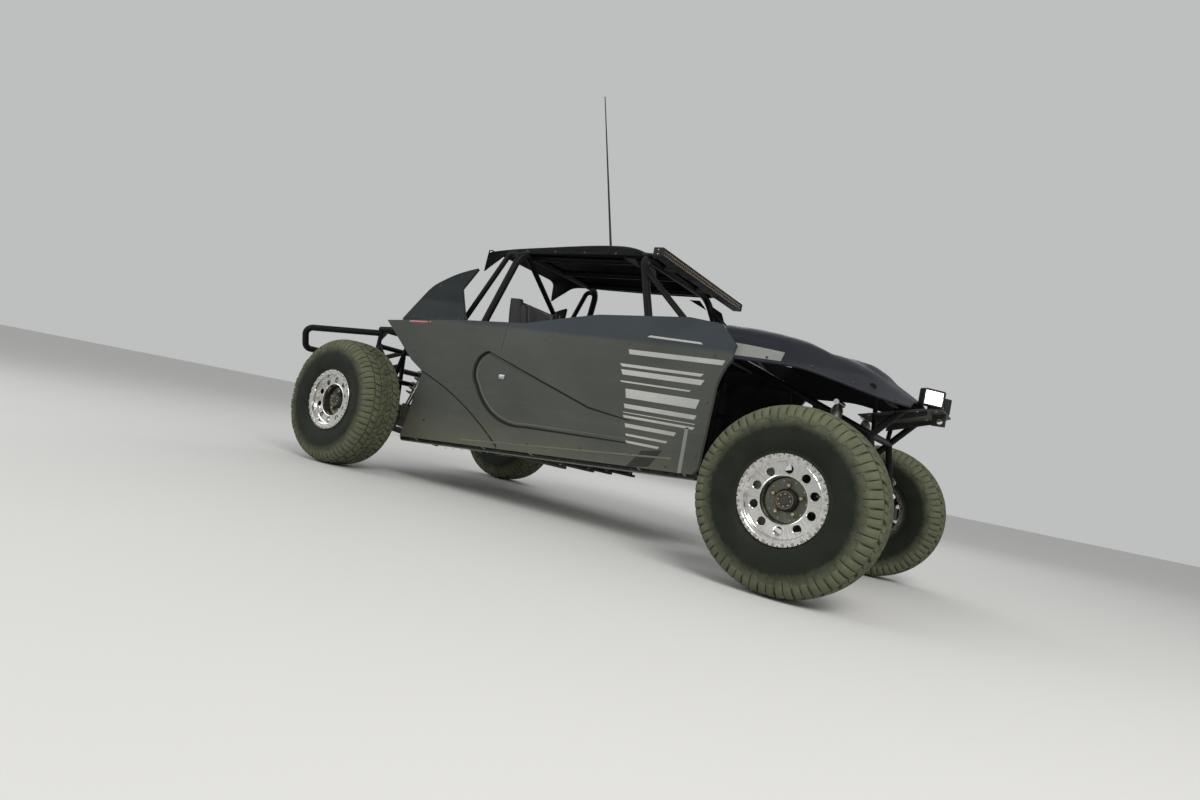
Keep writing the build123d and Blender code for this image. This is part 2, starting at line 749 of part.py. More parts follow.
finish(light_bar_lens.part, "light_bar_lens")

# Nose lamps: two flat pods on the nose plate, turned outwards
pod_width = 130.0
pod_height = 92.0
pod_depth = 40.0
pod_frame = 9.0
pod_sink = 10.0
pod_turn = 45.0
pod_x = ahead_of_front(404)
pod_y = 165.0
pod_z = 1114.0


def lamp_place(part, side):
    """Puts a piece drawn facing forwards at its side's lamp."""
    return Location((pod_x, side * pod_y, pod_z), (0, 0, side * pod_turn)) * part


def lamp_pod(side):
    """A flat lamp housing with a sunk face, cooling ribs behind and a foot on the nose plate."""
    with BuildPart() as pod:
        add(block(-pod_depth / 2, pod_depth / 2, -pod_width / 2, pod_width / 2, -pod_height / 2, pod_height / 2))
        fillet(pod.edges().filter_by(Axis.X), 10)
        window = pod_width / 2 - pod_frame, pod_height / 2 - pod_frame
        add(block(pod_depth / 2 - pod_sink, pod_depth / 2 + 1, -window[0], window[0], -window[1], window[1]),
            mode=Mode.SUBTRACT)
        for rib in (-2, -1, 0, 1, 2):
            add(block(-pod_depth / 2 - 1, -pod_depth / 2 + 10, rib * 20 - 4, rib * 20 + 4, -60, 60), mode=Mode.SUBTRACT)
        add(block(-14, 8, -9, 9, -90, 8 - pod_height / 2))
    return lamp_place(pod.part, side)


with BuildPart() as nose_lamps:
    for side in (-1, 1):
        add(trim(lamp_pod(side), nose_plate))
finish(nose_lamps.part, "nose_lamps")
with BuildPart() as nose_lamp_lenses:
    for side in (-1, 1):
        lens_y, lens_z = pod_width / 2 - pod_frame, pod_height / 2 - pod_frame
        lens = block(pod_depth / 2 - pod_sink, pod_depth / 2 - 2, -lens_y, lens_y, -lens_z, lens_z)
        add(lamp_place(lens, side))
finish(nose_lamp_lenses.part, "nose_lamp_lenses")

# Tail lamps at the rear edge of the deck
with BuildPart() as tail_lamps:
    for side in (-1, 1):
        add(block(deck_rear_x - 22, deck_rear_x, side * 600 - 60, side * 600 + 60,
                  truss_z(deck_rear_x) - 10, truss_z(deck_rear_x) + 28))
    add(trim(tail_lamps.part, rear_frame, rear_deck, side_panels, keep=2), mode=Mode.REPLACE)
finish(tail_lamps.part, "tail_lamps")

# Whip antenna on the roof, swept back
antenna_base_x = ahead_of_front(-1920)
antenna_tip = (ahead_of_front(-2282), 3142.0)
with BuildPart() as antenna:
    base_z = 1853.0
    lean = Vector(antenna_tip[0] - antenna_base_x, 0, antenna_tip[1] - base_z)
    with BuildSketch(Plane(origin=(antenna_base_x, 0, base_z), z_dir=lean)):
        Circle(9)
    with BuildSketch(Plane(origin=(antenna_tip[0], 0, antenna_tip[1]), z_dir=lean)):
        Circle(3.5)
    loft()
    add(rod((antenna_base_x, 0, base_z), (antenna_base_x, 0, 1888), 24))
    add(trim(antenna.part, roof_panel), mode=Mode.REPLACE)
finish(antenna.part, "antenna")

# Dashboard on the front hoop's cross tube
with BuildPart() as dashboard:
    dash_outline = [
        (front_leg_x - 60, 1090), (front_leg_x - 40, 1215), (front_leg_x + 20, 1240),
        (front_leg_x + 230, 1240), (front_leg_x + 230, 1228), (front_leg_x + 30, 1226),
        (front_leg_x - 22, 1196), (front_leg_x - 40, 1090),
    ]
    add(side_plate(dash_outline, 10 - cage_leg_half_width, cage_leg_half_width - 10))
    add(block(front_leg_x - 52, front_leg_x + 40, 130, 470, 1185, 1262))
    add(trim(dashboard.part, front_hoop, cage_braces), mode=Mode.REPLACE)
finish(dashboard.part, "dashboard")

# Steering wheel on its column, in front of the left seat
wheel_y = 300.0
column_low = (front_leg_x + 130, wheel_y, 1010.0)
column_high = (front_leg_x - 230, wheel_y, 1130.0)
grip_circle = 150.0
grip_radius = 14.0
with BuildPart() as steering_wheel:
    low, high = Vector(*column_low), Vector(*column_high)
    add(rod(column_low, column_high, 18))
    with BuildSketch(Plane(origin=high, x_dir=(0, 1, 0), z_dir=high - low)):
        Circle(42)
        Rectangle(300, 34)
        with Locations((0, 70)):
            Rectangle(34, 150)
        with Locations((0, 0)):
            Circle(18)
    extrude(amount=10)
    with BuildSketch(Plane(origin=high, x_dir=(0, 1, 0), z_dir=(high - low).cross(Vector(0, 1, 0)))):
        with Locations((grip_circle, 0)):
            RegularPolygon(grip_radius, 8)
    revolve(axis=Axis(high, high - low))
    add(trim(steering_wheel.part, dashboard, front_hoop), mode=Mode.REPLACE)
finish(steering_wheel.part, "steering_wheel")

# Bucket seats: a side profile with its middle scooped out
seat_half_width = 245.0
seat_side = 45.0
seat_y = 290.0
seat_rear_x, seat_front_x = -330.0, 150.0
seat_profile = [
    (seat_rear_x, floor_top(seat_rear_x) - 3), (seat_front_x, floor_top(seat_front_x) - 3),
    (190, 470), (215, 590), (120, 640), (-150, 640), (-250, 720), (-330, 960), (-420, 1240),
    (-462, 1395), (-560, 1395), (-540, 1240), (-470, 960), (-400, 640), (-380, 500),
]
scoop_profile = [
    (260, 555), (160, 560), (-220, 500), (-300, 560), (-400, 960), (-480, 1240),
    (-515, 1460), (-300, 1460), (300, 900),
]


def bucket_seat(y):
    """A seat profile with a hollow between its two side bolsters."""
    with BuildPart() as seat:
        add(side_plate(seat_profile, y - seat_half_width, y + seat_half_width))
        add(side_plate(scoop_profile, y - seat_half_width + seat_side, y + seat_half_width - seat_side),
            mode=Mode.SUBTRACT)
    return seat.part


with BuildPart() as seats:
    for side in (-1, 1):
        add(trim(bucket_seat(side * seat_y), main_hoop, floor_pan))
finish(seats.part, "seats")

# Battery block behind the seats and the drive unit between the rear wheels
with BuildPart() as battery_pack:
    battery_outline = [
        (ahead_of_rear(400), floor_top(ahead_of_rear(400))),
        (ahead_of_rear(850), floor_top(ahead_of_rear(850))),
        (ahead_of_rear(850), 800), (ahead_of_rear(400), 800),
    ]
    add(side_plate(battery_outline, -330, 330))
    add(trim(battery_pack.part, main_hoop, rear_frame, floor_pan), mode=Mode.REPLACE)
finish(battery_pack.part, "battery_pack")

drive_half_width = 205.0
with BuildPart() as drive_unit:
    with Locations(Location((rear_axle_x, 0, axle_z), (90, 0, 0))):
        Cylinder(125, 2 * drive_half_width)
    with Locations(Location((ahead_of_rear(180), 0, axle_z + 60), (90, 0, 0))):
        Cylinder(130, 300)
    add(block(ahead_of_rear(-90), ahead_of_rear(180), -110, 110, 330, 560))
    for side in (-1, 1):
        add(block(ahead_of_rear(-80), ahead_of_rear(-40), side * 205 - 105, side * 205 + 105, 300, 370))
    add(trim(drive_unit.part, rear_frame, battery_pack), mode=Mode.REPLACE)
finish(drive_unit.part, "drive_unit")

# Front suspension arms: a triangle of tubes each, from the frame to the knuckle's ball joints
kingpin_y = front_track / 2 - kingpin_inboard
lower_ball_z = axle_z - 112
upper_ball_z = axle_z + 118
arm_span = 170.0
arm_root_y = nose_truss_half_width + brace_tube + 24
shock_foot_y = 610.0


boss_half = 28.0


def wishbone(root_z, ball_z, span, end_y, tube):
    """A pair of legs to one ball joint on each side, with root bushings along X."""
    pieces = []
    for side in (-1, 1):
        with BuildPart() as arm:
            for leg in (-1, 1):
                root = (front_axle_x + leg * span, side * arm_root_y, root_z)
                add(rod(root, (front_axle_x, side * end_y, ball_z), tube))
                add(rod((root[0] - 30, root[1], root_z), (root[0] + 30, root[1], root_z), 24))
            add(rod((front_axle_x, side * end_y, ball_z - boss_half), (front_axle_x, side * end_y, ball_z + boss_half), 24))
        pieces.append(arm.part)
    return pieces


lower_root_z = 462.0
upper_root_z = 640.0
with BuildPart() as front_lower_arms:
    for piece in wishbone(lower_root_z, lower_ball_z, arm_span, kingpin_y, brace_tube):
        add(piece)
    for side in (-1, 1):
        add(rod((front_axle_x - 80, side * shock_foot_y, 372), (front_axle_x + 80, side * shock_foot_y, 372), 15))
    add(trim(front_lower_arms.part, front_frame, keep=2), mode=Mode.REPLACE)
finish(front_lower_arms.part, "front_lower_arms")
with BuildPart() as front_upper_arms:
    for piece in wishbone(upper_root_z, upper_ball_z, arm_span + 10, kingpin_y, slim_tube + 3):
        add(piece)
    add(trim(front_upper_arms.part, front_frame, keep=2), mode=Mode.REPLACE)
finish(front_upper_arms.part, "front_upper_arms")

# Coil-over shocks: body, rod, eyes and a stack of rings for the spring
spring_radius = 54.0
coil_count = 8


def coil_over(foot, head):
    """A shock with its spring between two eyes."""
    foot, head = Vector(*foot), Vector(*head)
    length = (head - foot).length
    frame = Plane(origin=foot, x_dir=(0, 1, 0), z_dir=head - foot)
    spring_low, spring_high = 0.16 * length, 0.80 * length
    pitch = (spring_high - spring_low) / coil_count
    profile = [(0, 0), (16, 0), (16, spring_low - 12), (spring_radius + 4, spring_low - 12)]
    profile.append((spring_radius + 4, spring_low))
    for number in range(coil_count):
        start = spring_low + number * pitch
        profile += [(spring_radius - 14, start), (spring_radius, start + pitch / 2)]
    profile += [(spring_radius - 14, spring_high), (spring_radius + 4, spring_high)]
    profile += [(spring_radius + 4, spring_high + 12), (32, spring_high + 12), (32, length), (0, length)]
    with BuildPart() as shock:
        with BuildSketch(Plane(origin=foot, x_dir=frame.x_dir, z_dir=frame.y_dir)):
            with BuildLine():
                Polyline(*[(radius, -along) for radius, along in profile], close=True)
            make_face()
        revolve(axis=Axis(foot, head - foot))
    return shock.part


with BuildPart() as front_shocks:
    for side in (-1, 1):
        add(coil_over(
            (front_axle_x, side * shock_foot_y, 372),
            (front_axle_x - 25, side * 345, 985),
        ))
        add(rod((front_axle_x - 25, side * 250, 1000), (front_axle_x - 25, side * 400, 1000), 15))
    add(trim(front_shocks.part, front_lower_arms, front_frame, keep=2), mode=Mode.REPLACE)
finish(front_shocks.part, "front_shocks")

# Rear trailing arms: boxed arms from the floor's ears back to the wheel carriers
carrier_y = rear_track / 2 - 95
carrier_radius = 72.0
carrier_bore = 46.0
arm_side = [
    (arm_pivot_x + 30, arm_pivot_z - 24), (arm_pivot_x + 30, arm_pivot_z + 24),
    (ahead_of_rear(330), 500), (ahead_of_rear(60), 510), (ahead_of_rear(-60), 500),
    (ahead_of_rear(-60), 390), (ahead_of_rear(60), 375), (ahead_of_rear(380), 345),
]
shock_foot = (ahead_of_rear(290), 640.0, 500.0)


def caliper(axle_x, y):
    """A brake caliper ahead of the axle, open over the disc."""
    near, far = axle_x + brake_disc_radius - 47, axle_x + brake_disc_radius + 15
    slot = brake_disc_thickness / 2 + caliper_clearance
    with BuildPart() as body:
        add(block(near, far, y - caliper_half_width, y + caliper_half_width, axle_z - 40, axle_z + 40))
        add(block(near - 8, far - 8, y - slot, y + slot, axle_z - 60, axle_z + 60), mode=Mode.SUBTRACT)
    return body.part


def trailing_arm(side):
    """A boxed arm with its pivot tube, shock seat, wheel carrier and brake caliper."""
    with BuildPart() as arm:
        with BuildSketch(Plane.XY.offset(250)):
            with BuildLine():
                Polyline(
                    (arm_pivot_x + 30, side * (arm_pivot_y - 45)),
                    (arm_pivot_x + 30, side * (arm_pivot_y + 50)),
                    (ahead_of_rear(330), side * 690),
                    (ahead_of_rear(-80), side * 745),
                    (ahead_of_rear(-80), side * 690),
                    (ahead_of_rear(300), side * 590),
                    close=True,
                )
            make_face()
        extrude(amount=400)
        add(side_plate(arm_side, side * 300, side * 760), mode=Mode.INTERSECT)
        add(rod(
            (arm_pivot_x, side * arm_pivot_y - arm_pivot_length / 2, arm_pivot_z),
            (arm_pivot_x, side * arm_pivot_y + arm_pivot_length / 2, arm_pivot_z),
            arm_pivot_radius,
        ))
        add(rod((rear_axle_x, side * 690, axle_z), (rear_axle_x, side * (carrier_y + 20), axle_z), carrier_radius))
        add(rod((rear_axle_x, side * 600, axle_z), (rear_axle_x, side * 900, axle_z), carrier_bore),
            mode=Mode.SUBTRACT)
        caliper_y = rear_track / 2 + brake_disc_offset - brake_disc_thickness / 2
        bracket = side * (caliper_y - 66), side * (caliper_y - caliper_half_width + 4)
        add(block(rear_axle_x + 62, rear_axle_x + 110, min(bracket), max(bracket), axle_z - 22, axle_z + 22))
        add(caliper(rear_axle_x, side * caliper_y))
        add(rod((shock_foot[0], side * shock_foot[1], shock_foot[2] - 30),
                (shock_foot[0], side * shock_foot[1], shock_foot[2] + 20), 30))
    return arm.part


with BuildPart() as rear_trailing_arms:
    for side in (-1, 1):
        add(trim(trailing_arm(side), floor_pan))
finish(rear_trailing_arms.part, "rear_trailing_arms")

with BuildPart() as rear_shocks:
    for side in (-1, 1):
        add(coil_over(
            (shock_foot[0], side * shock_foot[1], shock_foot[2] + 10),
            (shock_top_x, side * 535, truss_z(shock_top_x) - 5),
        ))
    add(trim(rear_shocks.part, rear_trailing_arms, rear_frame, cage_braces, keep=2), mode=Mode.REPLACE)
finish(rear_shocks.part, "rear_shocks")


# Wheels: each is drawn about the Y axis at the origin, outboard towards -Y, then placed
def place(part, x, side, track):
    """Puts a wheel piece at its corner, turned to face outwards."""
    turn = 0 if side < 0 else 180
    return Location((x, side * track / 2, axle_z), (0, 0, turn)) * part


def wheel_revolve(profile):
    """A body of revolution about Y from pairs of radius and outboard offset."""
    with BuildPart() as turned:
        with BuildSketch(Plane.XY):
            with BuildLine():
                Polyline(*[(radius, -offset) for radius, offset in profile], close=True)
            make_face()
        revolve(axis=Axis.Y)
    return turned.part


# The tyre is one ring of flat slices, each with a lug over its left or its right shoulder in turn
tyre_half = tyre_width / 2
tread_depth = 14.0
carcass_radius = tyre_radius - tread_depth
slice_count = 40
slice_half_angle = 180 / slice_count
# radius and offset from the bead up the sidewall, then over the lug, then over the plain shoulder
side_line = [
    (bead_radius, rim_half_width - 18), (bead_radius + 22, rim_half_width - 8),
    (bead_radius + 108, tyre_half - 4), (carcass_radius - 46, tyre_half - 2),
]
lug_line = [
    (tyre_radius - 25, tyre_half), (tyre_radius, tyre_half - 24), (tyre_radius, 20.0), (carcass_radius, 20.0),
]
shoulder_line = [(carcass_radius, tyre_half - 44)]


def tyre_slice(hand):
    """A slice of the tyre about the X axis, with its lug on one hand."""
    plain = side_line + shoulder_line
    section = side_line + lug_line + [(radius, -offset) for radius, offset in reversed(plain)]
    reach = 2 * tyre_radius
    with BuildPart() as piece:
        with BuildSketch(Plane.XY):
            with BuildLine():
                Polyline(*[(radius, hand * offset) for radius, offset in section], close=True)
            make_face()
        extrude(amount=tyre_radius / 4, both=True)
        with BuildSketch(Plane.XZ.offset(-tyre_half)):
            with BuildLine():
                spread = reach * tan(radians(slice_half_angle))
                Polyline((0, 0), (reach, spread), (reach, -spread), close=True)
            make_face()
        extrude(amount=tyre_width, mode=Mode.INTERSECT)
    return piece.part


tyre_slices = [tyre_slice(1), tyre_slice(-1)]
with BuildPart() as tyre_master:
    add([
        Location((0, 0, 0), (0, 2 * slice_half_angle * number, 0)) * tyre_slices[number % 2]
        for number in range(slice_count)
    ])

ring_face = rim_half_width - 2 + beadlock_thickness
mount_back = mount_face - mount_thickness
rim_profile = [
    (bead_radius - rim_wall, -rim_half_width),
    (bead_radius + 14, -rim_half_width),
    (bead_radius + 14, -rim_half_width + 8),
    (bead_radius, -rim_half_width + 18),
    (bead_radius, rim_half_width - 18),
    (bead_radius + 14, rim_half_width - 8),
    (beadlock_radius, rim_half_width - 2),
    (beadlock_radius, ring_face),
    (ring_bore, ring_face),
    (ring_bore - 5, disc_face),
    (well_radius, disc_face),
    (well_radius - 6, mount_face),
    (hub_bore_radius, mount_face),
    (hub_bore_radius, mount_back),
    (well_radius - 6 + well_wall, mount_back),
    (well_radius + well_wall, disc_face - disc_thickness),
    (bead_radius - rim_wall, disc_face - disc_thickness),
]
stud_count = 5
stud_circle = 70.0
stud_radius = 7.0
nut_radius = 12.0
stud_reach = 20.0
nut_length = 16.0


def studs():
    """The wheel studs with their nuts, through the rim's mounting face."""
    with BuildPart() as bolts:
        for number in range(stud_count):
            angle = 360 / stud_count * number + 18
            x, z = stud_circle * cos(radians(angle)), stud_circle * sin(radians(angle))
            add(rod((x, 4 - mount_back, z), (x, -mount_face - stud_reach, z), stud_radius))
            add(rod((x, -mount_face, z), (x, -mount_face - nut_length, z), nut_radius))
    return bolts.part


wheel_bolts = studs()
with BuildPart() as rim_master:
    add(wheel_revolve(rim_profile))
    add(wheel_bolts, mode=Mode.SUBTRACT)
    for number in range(wheel_window_count):
        angle = 360 / wheel_window_count * (number + 0.5)
        spot = (wheel_window_circle * cos(radians(angle)), 0, wheel_window_circle * sin(radians(angle)))
        with Locations(Location(spot, (90, 0, 0))):
            Cylinder(wheel_window_radius, 2 * rim_half_width, mode=Mode.SUBTRACT)

hub_bore = spindle_radius + running_gap
hub_flange_radius = 96.0
hub_flange = 16.0
cap_reach = 40.0
hub_core = [
    (hub_bore, -52), (52, -52), (52, brake_disc_offset - brake_disc_thickness),
    (brake_disc_radius, brake_disc_offset - brake_disc_thickness), (brake_disc_radius, brake_disc_offset),
    (60, brake_disc_offset), (60, mount_back - hub_flange), (hub_flange_radius, mount_back - hub_flange),
    (hub_flange_radius, mount_back), (hub_bore_radius, mount_back),
    (hub_bore_radius, mount_face + 22), (hub_bore_radius - 10, mount_face + cap_reach), (0, mount_face + cap_reach),
]
front_core = hub_core + [(0, 30), (hub_bore, 30)]
shaft_reach = rear_track / 2 - drive_half_width - 5
journal_radius = carrier_bore - running_gap
rear_core = hub_core[2:] + [
    (0, -shaft_reach), (half_shaft_radius, -shaft_reach), (half_shaft_radius, -150), (journal_radius, -140),
    (journal_radius, -60), (52, -60),
]
with BuildPart() as front_hub_master:
    add(wheel_revolve(front_core))
    add(wheel_bolts)
with BuildPart() as rear_hub_master:
    add(wheel_revolve(rear_core))
    add(wheel_bolts)

corners = [
    # name, axle x, side, track, hub
    ("front_left", front_axle_x, 1, front_track, front_hub_master),
    ("front_right", front_axle_x, -1, front_track, front_hub_master),
    ("rear_left", rear_axle_x, 1, rear_track, rear_hub_master),
    ("rear_right", rear_axle_x, -1, rear_track, rear_hub_master),
]
for corner, x, side, track, hub_master in corners:
    finish(place(tyre_master.part, x, side, track), f"tyre_{corner}")
    finish(place(rim_master.part, x, side, track), f"rim_{corner}")
    finish(place(hub_master.part, x, side, track), f"hub_{corner}")

# Knuckles: an upright on the kingpin with the spindle, the steering arm and the brake caliper
for name, side in (("knuckle_left", 1), ("knuckle_right", -1)):
    with BuildPart() as knuckle:
        y = side * kingpin_y
        low_face, high_face = lower_ball_z + boss_half + running_gap, upper_ball_z - boss_half - running_gap
        add(block(front_axle_x - 26, front_axle_x + 26, y - 24, y + 24, low_face + 14, high_face - 14))
        add(rod((front_axle_x, y, low_face), (front_axle_x, y, high_face), 22))
        add(rod((front_axle_x, y, axle_z), (front_axle_x, side * (front_track / 2 + 20), axle_z), spindle_radius))
        add(block(front_axle_x - steering_arm_length, front_axle_x, y - 12, y + 12, rack_z + 22, rack_z + 42))
        add(rod(
            (front_axle_x - steering_arm_length, y, rack_z + 22),
            (front_axle_x - steering_arm_length, y, rack_z + 42),
            22,
        ))
        caliper_y = side * (front_track / 2 + brake_disc_offset - brake_disc_thickness / 2)
        add(block(front_axle_x + 20, front_axle_x + 110, min(y, caliper_y - side * 22), max(y, caliper_y - side * 22),
                  axle_z - 22, axle_z + 22))
        add(caliper(front_axle_x, caliper_y))
    finish(knuckle.part, name)

# Steering rack with its tie rods, one sliding piece
with BuildPart() as steering_rack:
    add(rod((rack_x, -kingpin_y, rack_z), (rack_x, kingpin_y, rack_z), slim_tube - 1))
    for side in (-1, 1):
        y = side * kingpin_y
        add(rod((rack_x, y, rack_z - 12), (rack_x, y, rack_z + 14), 20))
    add(rod((rack_x, -240, rack_z), (rack_x, 240, rack_z), rack_radius))
finish(steering_rack.part, "steering_rack")
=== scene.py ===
"""Looks of the dune buggy round its CAD model: materials, small parts, stage and camera. Metres throughout."""
import json
import math

import bmesh
import bpy
from mathutils import Matrix, Vector


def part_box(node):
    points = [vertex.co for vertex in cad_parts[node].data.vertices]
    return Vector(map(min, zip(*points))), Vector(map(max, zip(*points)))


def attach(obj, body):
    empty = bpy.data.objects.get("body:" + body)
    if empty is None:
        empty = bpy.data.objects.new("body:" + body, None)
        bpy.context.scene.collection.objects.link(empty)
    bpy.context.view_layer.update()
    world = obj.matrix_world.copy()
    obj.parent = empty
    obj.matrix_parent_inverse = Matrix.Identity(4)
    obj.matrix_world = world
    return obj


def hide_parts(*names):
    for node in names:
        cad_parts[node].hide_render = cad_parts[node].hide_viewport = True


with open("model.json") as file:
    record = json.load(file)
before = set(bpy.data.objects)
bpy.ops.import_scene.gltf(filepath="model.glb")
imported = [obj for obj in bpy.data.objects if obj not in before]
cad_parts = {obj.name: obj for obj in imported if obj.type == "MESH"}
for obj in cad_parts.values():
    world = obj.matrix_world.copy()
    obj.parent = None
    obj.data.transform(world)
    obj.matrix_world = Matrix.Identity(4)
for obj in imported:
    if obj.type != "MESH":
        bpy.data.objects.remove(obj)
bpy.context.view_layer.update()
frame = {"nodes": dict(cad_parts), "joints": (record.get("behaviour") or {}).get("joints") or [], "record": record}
nodes = frame["nodes"]

# Driving places, from the wheels' joints and the CAD model
SPINS = {joint["child"]: joint["pos_m"] for joint in frame["joints"] if joint.get("continuous")}
FRONT_X, REAR_X = SPINS["wheel_front_left"][0], SPINS["wheel_rear_left"][0]
AXLE_Z = SPINS["wheel_rear_left"][2]
SIDES = (-1, 1)
SEAT_Y = 0.29


# Small node graphs for the materials
class Graph:
    """A material with one Principled shader, fed in object coordinates."""

    def __init__(self, name, colour, roughness, metallic=0.0, **sockets):
        self.material = bpy.data.materials.new(name)
        self.material.use_nodes = True
        self.material.diffuse_color = (*colour, 1)
        self.tree = self.material.node_tree
        self.shader = self.tree.nodes["Principled BSDF"]
        values = {"Base_Color": (*colour, 1), "Roughness": roughness, "Metallic": metallic, **sockets}
        for socket, value in values.items():
            self.shader.inputs[socket.replace("_", " ")].default_value = value
        self.place = self.node("TexCoord").outputs["Object"]
        self.x, self.y, self.z = self.node("SeparateXYZ", Vector=self.place).outputs

    def put(self, socket, value):
        if isinstance(value, bpy.types.NodeSocket):
            self.tree.links.new(value, socket)
        else:
            socket.default_value = value

    def node(self, kind, **inputs):
        node = self.tree.nodes.new("ShaderNode" + kind)
        for socket, value in inputs.items():
            self.put(node.inputs[socket], value)
        return node

    def math(self, operation, a, b=0.0):
        node = self.node("Math")
        node.operation = operation
        self.put(node.inputs[0], a)
        self.put(node.inputs[1], b)
        return node.outputs[0]

    def times(self, a, b):
        return self.math("MULTIPLY", a, b)

    def plus(self, a, b):
        return self.math("ADD", a, b)

    def wave(self, value, rate):
        return self.math("SINE", self.times(value, rate))

    def stretch(self, x, y, z):
        return self.node("Mapping", Vector=self.place, Scale=(x, y, z)).outputs[0]

    def noise(self, scale, detail=5.0, rough=0.55, vector=None):
        vector = vector or self.place
        return self.node("TexNoise", Vector=vector, Scale=scale, Detail=detail, Roughness=rough).outputs["Fac"]

    def cells(self, scale):
        return self.node("TexVoronoi", Vector=self.place, Scale=scale).outputs["Distance"]

    def span(self, value, low, high, bottom=0.0, top=1.0):
        node = self.node("MapRange", Value=value)
        for number, limit in enumerate((low, high, bottom, top)):
            node.inputs[number + 1].default_value = limit
        return node.outputs[0]

    def mix(self, share, *colours):
        node = self.node("Mix")
        node.data_type = "RGBA"
        self.put(node.inputs[0], share)
        for number, colour in zip((6, 7), colours):
            self.put(node.inputs[number], colour if isinstance(colour, bpy.types.NodeSocket) else (*colour, 1))
        return node.outputs[2]

    def facing(self):
        return self.node("SeparateXYZ", Vector=self.node("TexCoord").outputs["Normal"]).outputs

    def upward(self, low, high):
        """How far a face looks up, from 0 to 1."""
        return self.span(self.facing()[2], low, high)

    def inward(self):
        """Whether a face looks towards the vehicle's middle plane, from 0 to 1."""
        return self.span(self.times(self.facing()[1], self.math("SIGN", self.y)), -0.2, -0.6)

    def polar(self):
        """Distance from the Y axis and angle round it."""
        radius = self.math("SQRT", self.plus(self.times(self.x, self.x), self.times(self.z, self.z)))
        return radius, self.math("ARCTAN2", self.x, self.z)

    def bump(self, height, strength, distance):
        node = self.node("Bump", Strength=strength, Distance=distance, Height=height)
        normal = self.shader.inputs["Normal"]
        if normal.links:
            self.tree.links.new(normal.links[0].from_socket, node.inputs["Normal"])
        self.tree.links.new(node.outputs[0], normal)

    def colour(self, value):
        self.put(self.shader.inputs["Base Color"], value)

    def roughness(self, value):
        self.put(self.shader.inputs["Roughness"], value)


DUST = (0.21, 0.185, 0.135)


def painted(name, deep, pale, rough, dust=0.0, grain=900.0, grain_height=0.0002, reach=(1.0, 0.2), **sockets):
    """Paint or powder coat with slow shade changes, a fine grain, and dust that gathers low down."""
    g = Graph(name, deep, rough, **{"Specular_IOR_Level": 0.22, **sockets})
    tone = g.mix(g.span(g.noise(2.3), 0.35, 0.7), deep, pale)
    specks = g.span(g.noise(48, 8, 0.7), 0.56, 0.74)
    tone = g.mix(g.times(specks, 0.28), tone, [c * 1.7 + 0.01 for c in pale])
    if dust:
        height = g.plus(g.z, g.times(g.noise(3.1, 7, 0.65), 0.5))
        low = g.span(height, reach[0] + 0.25, reach[1] + 0.25)
        film = g.times(low, g.span(g.noise(26, 8, 0.7), 0.25, 0.8))
        tone = g.mix(g.times(film, dust), tone, DUST)
        g.roughness(g.span(film, 0, 1, rough, min(1.0, rough + 0.35)))
    else:
        g.roughness(g.span(g.noise(17, 6), 0.3, 0.7, rough * 0.85, min(1.0, rough * 1.2)))
    g.colour(tone)
    g.bump(g.noise(grain, 2), 0.35, grain_height)
    return g.material


def bare_metal(name, base, rough, stretch, dirt=0.25, scratch=0.0004):
    """Bare metal with scratches drawn out along one direction and dirt in patches."""
    g = Graph(name, base, rough, 1.0)
    lines = g.noise(30, 8, 0.75, g.stretch(*stretch))
    patches = g.span(g.noise(5.5, 8, 0.65), 0.48, 0.72)
    metal = g.mix(g.span(lines, 0.35, 0.7), [c * 0.72 for c in base], base)
    g.colour(g.mix(g.times(patches, dirt), metal, (0.12, 0.10, 0.075)))
    g.roughness(g.span(g.plus(lines, g.times(patches, 0.5)), 0.3, 1.1, rough, min(1.0, rough + 0.4)))
    g.bump(lines, 0.4, scratch)
    return g.material


def rubber_material():
    """Black rubber, with sand caked on the tread and fading down the sidewall."""
    g = Graph("tyre_rubber", (0.013, 0.014, 0.012), 0.72, Specular_IOR_Level=0.14)
    radius, angle = g.polar()
    outer = g.span(g.plus(radius, g.times(g.noise(34, 8, 0.7), 0.05)), 0.352, 0.412)
    lower = g.span(radius, 0.23, 0.195, 0, 0.35)
    share = g.plus(g.times(outer, g.span(g.noise(9, 8, 0.7), 0.2, 0.75, 0.45, 0.95)), lower)
    wear = g.span(radius, 0.4415, 0.4449, 0, 0.45)
    share = g.math("SUBTRACT", share, g.times(wear, g.span(g.noise(60, 5), 0.35, 0.6)))
    clean = g.mix(g.span(g.noise(7), 0.3, 0.7), (0.009, 0.012, 0.008), (0.018, 0.022, 0.015))
    g.colour(g.mix(share, clean, (0.150, 0.158, 0.100)))
    g.roughness(g.span(share, 0, 1, 0.55, 0.93))
    # fine ribs round the sidewall, sipes across the tread
    g.bump(g.times(g.wave(radius, 1900.0), g.span(radius, 0.37, 0.33)), 0.22, 0.0006)
    g.bump(g.times(g.wave(angle, 190.0), g.span(radius, 0.4, 0.43)), 0.18, 0.0008)
    g.bump(g.noise(420, 3), 0.3, 0.0006)
    return g.material


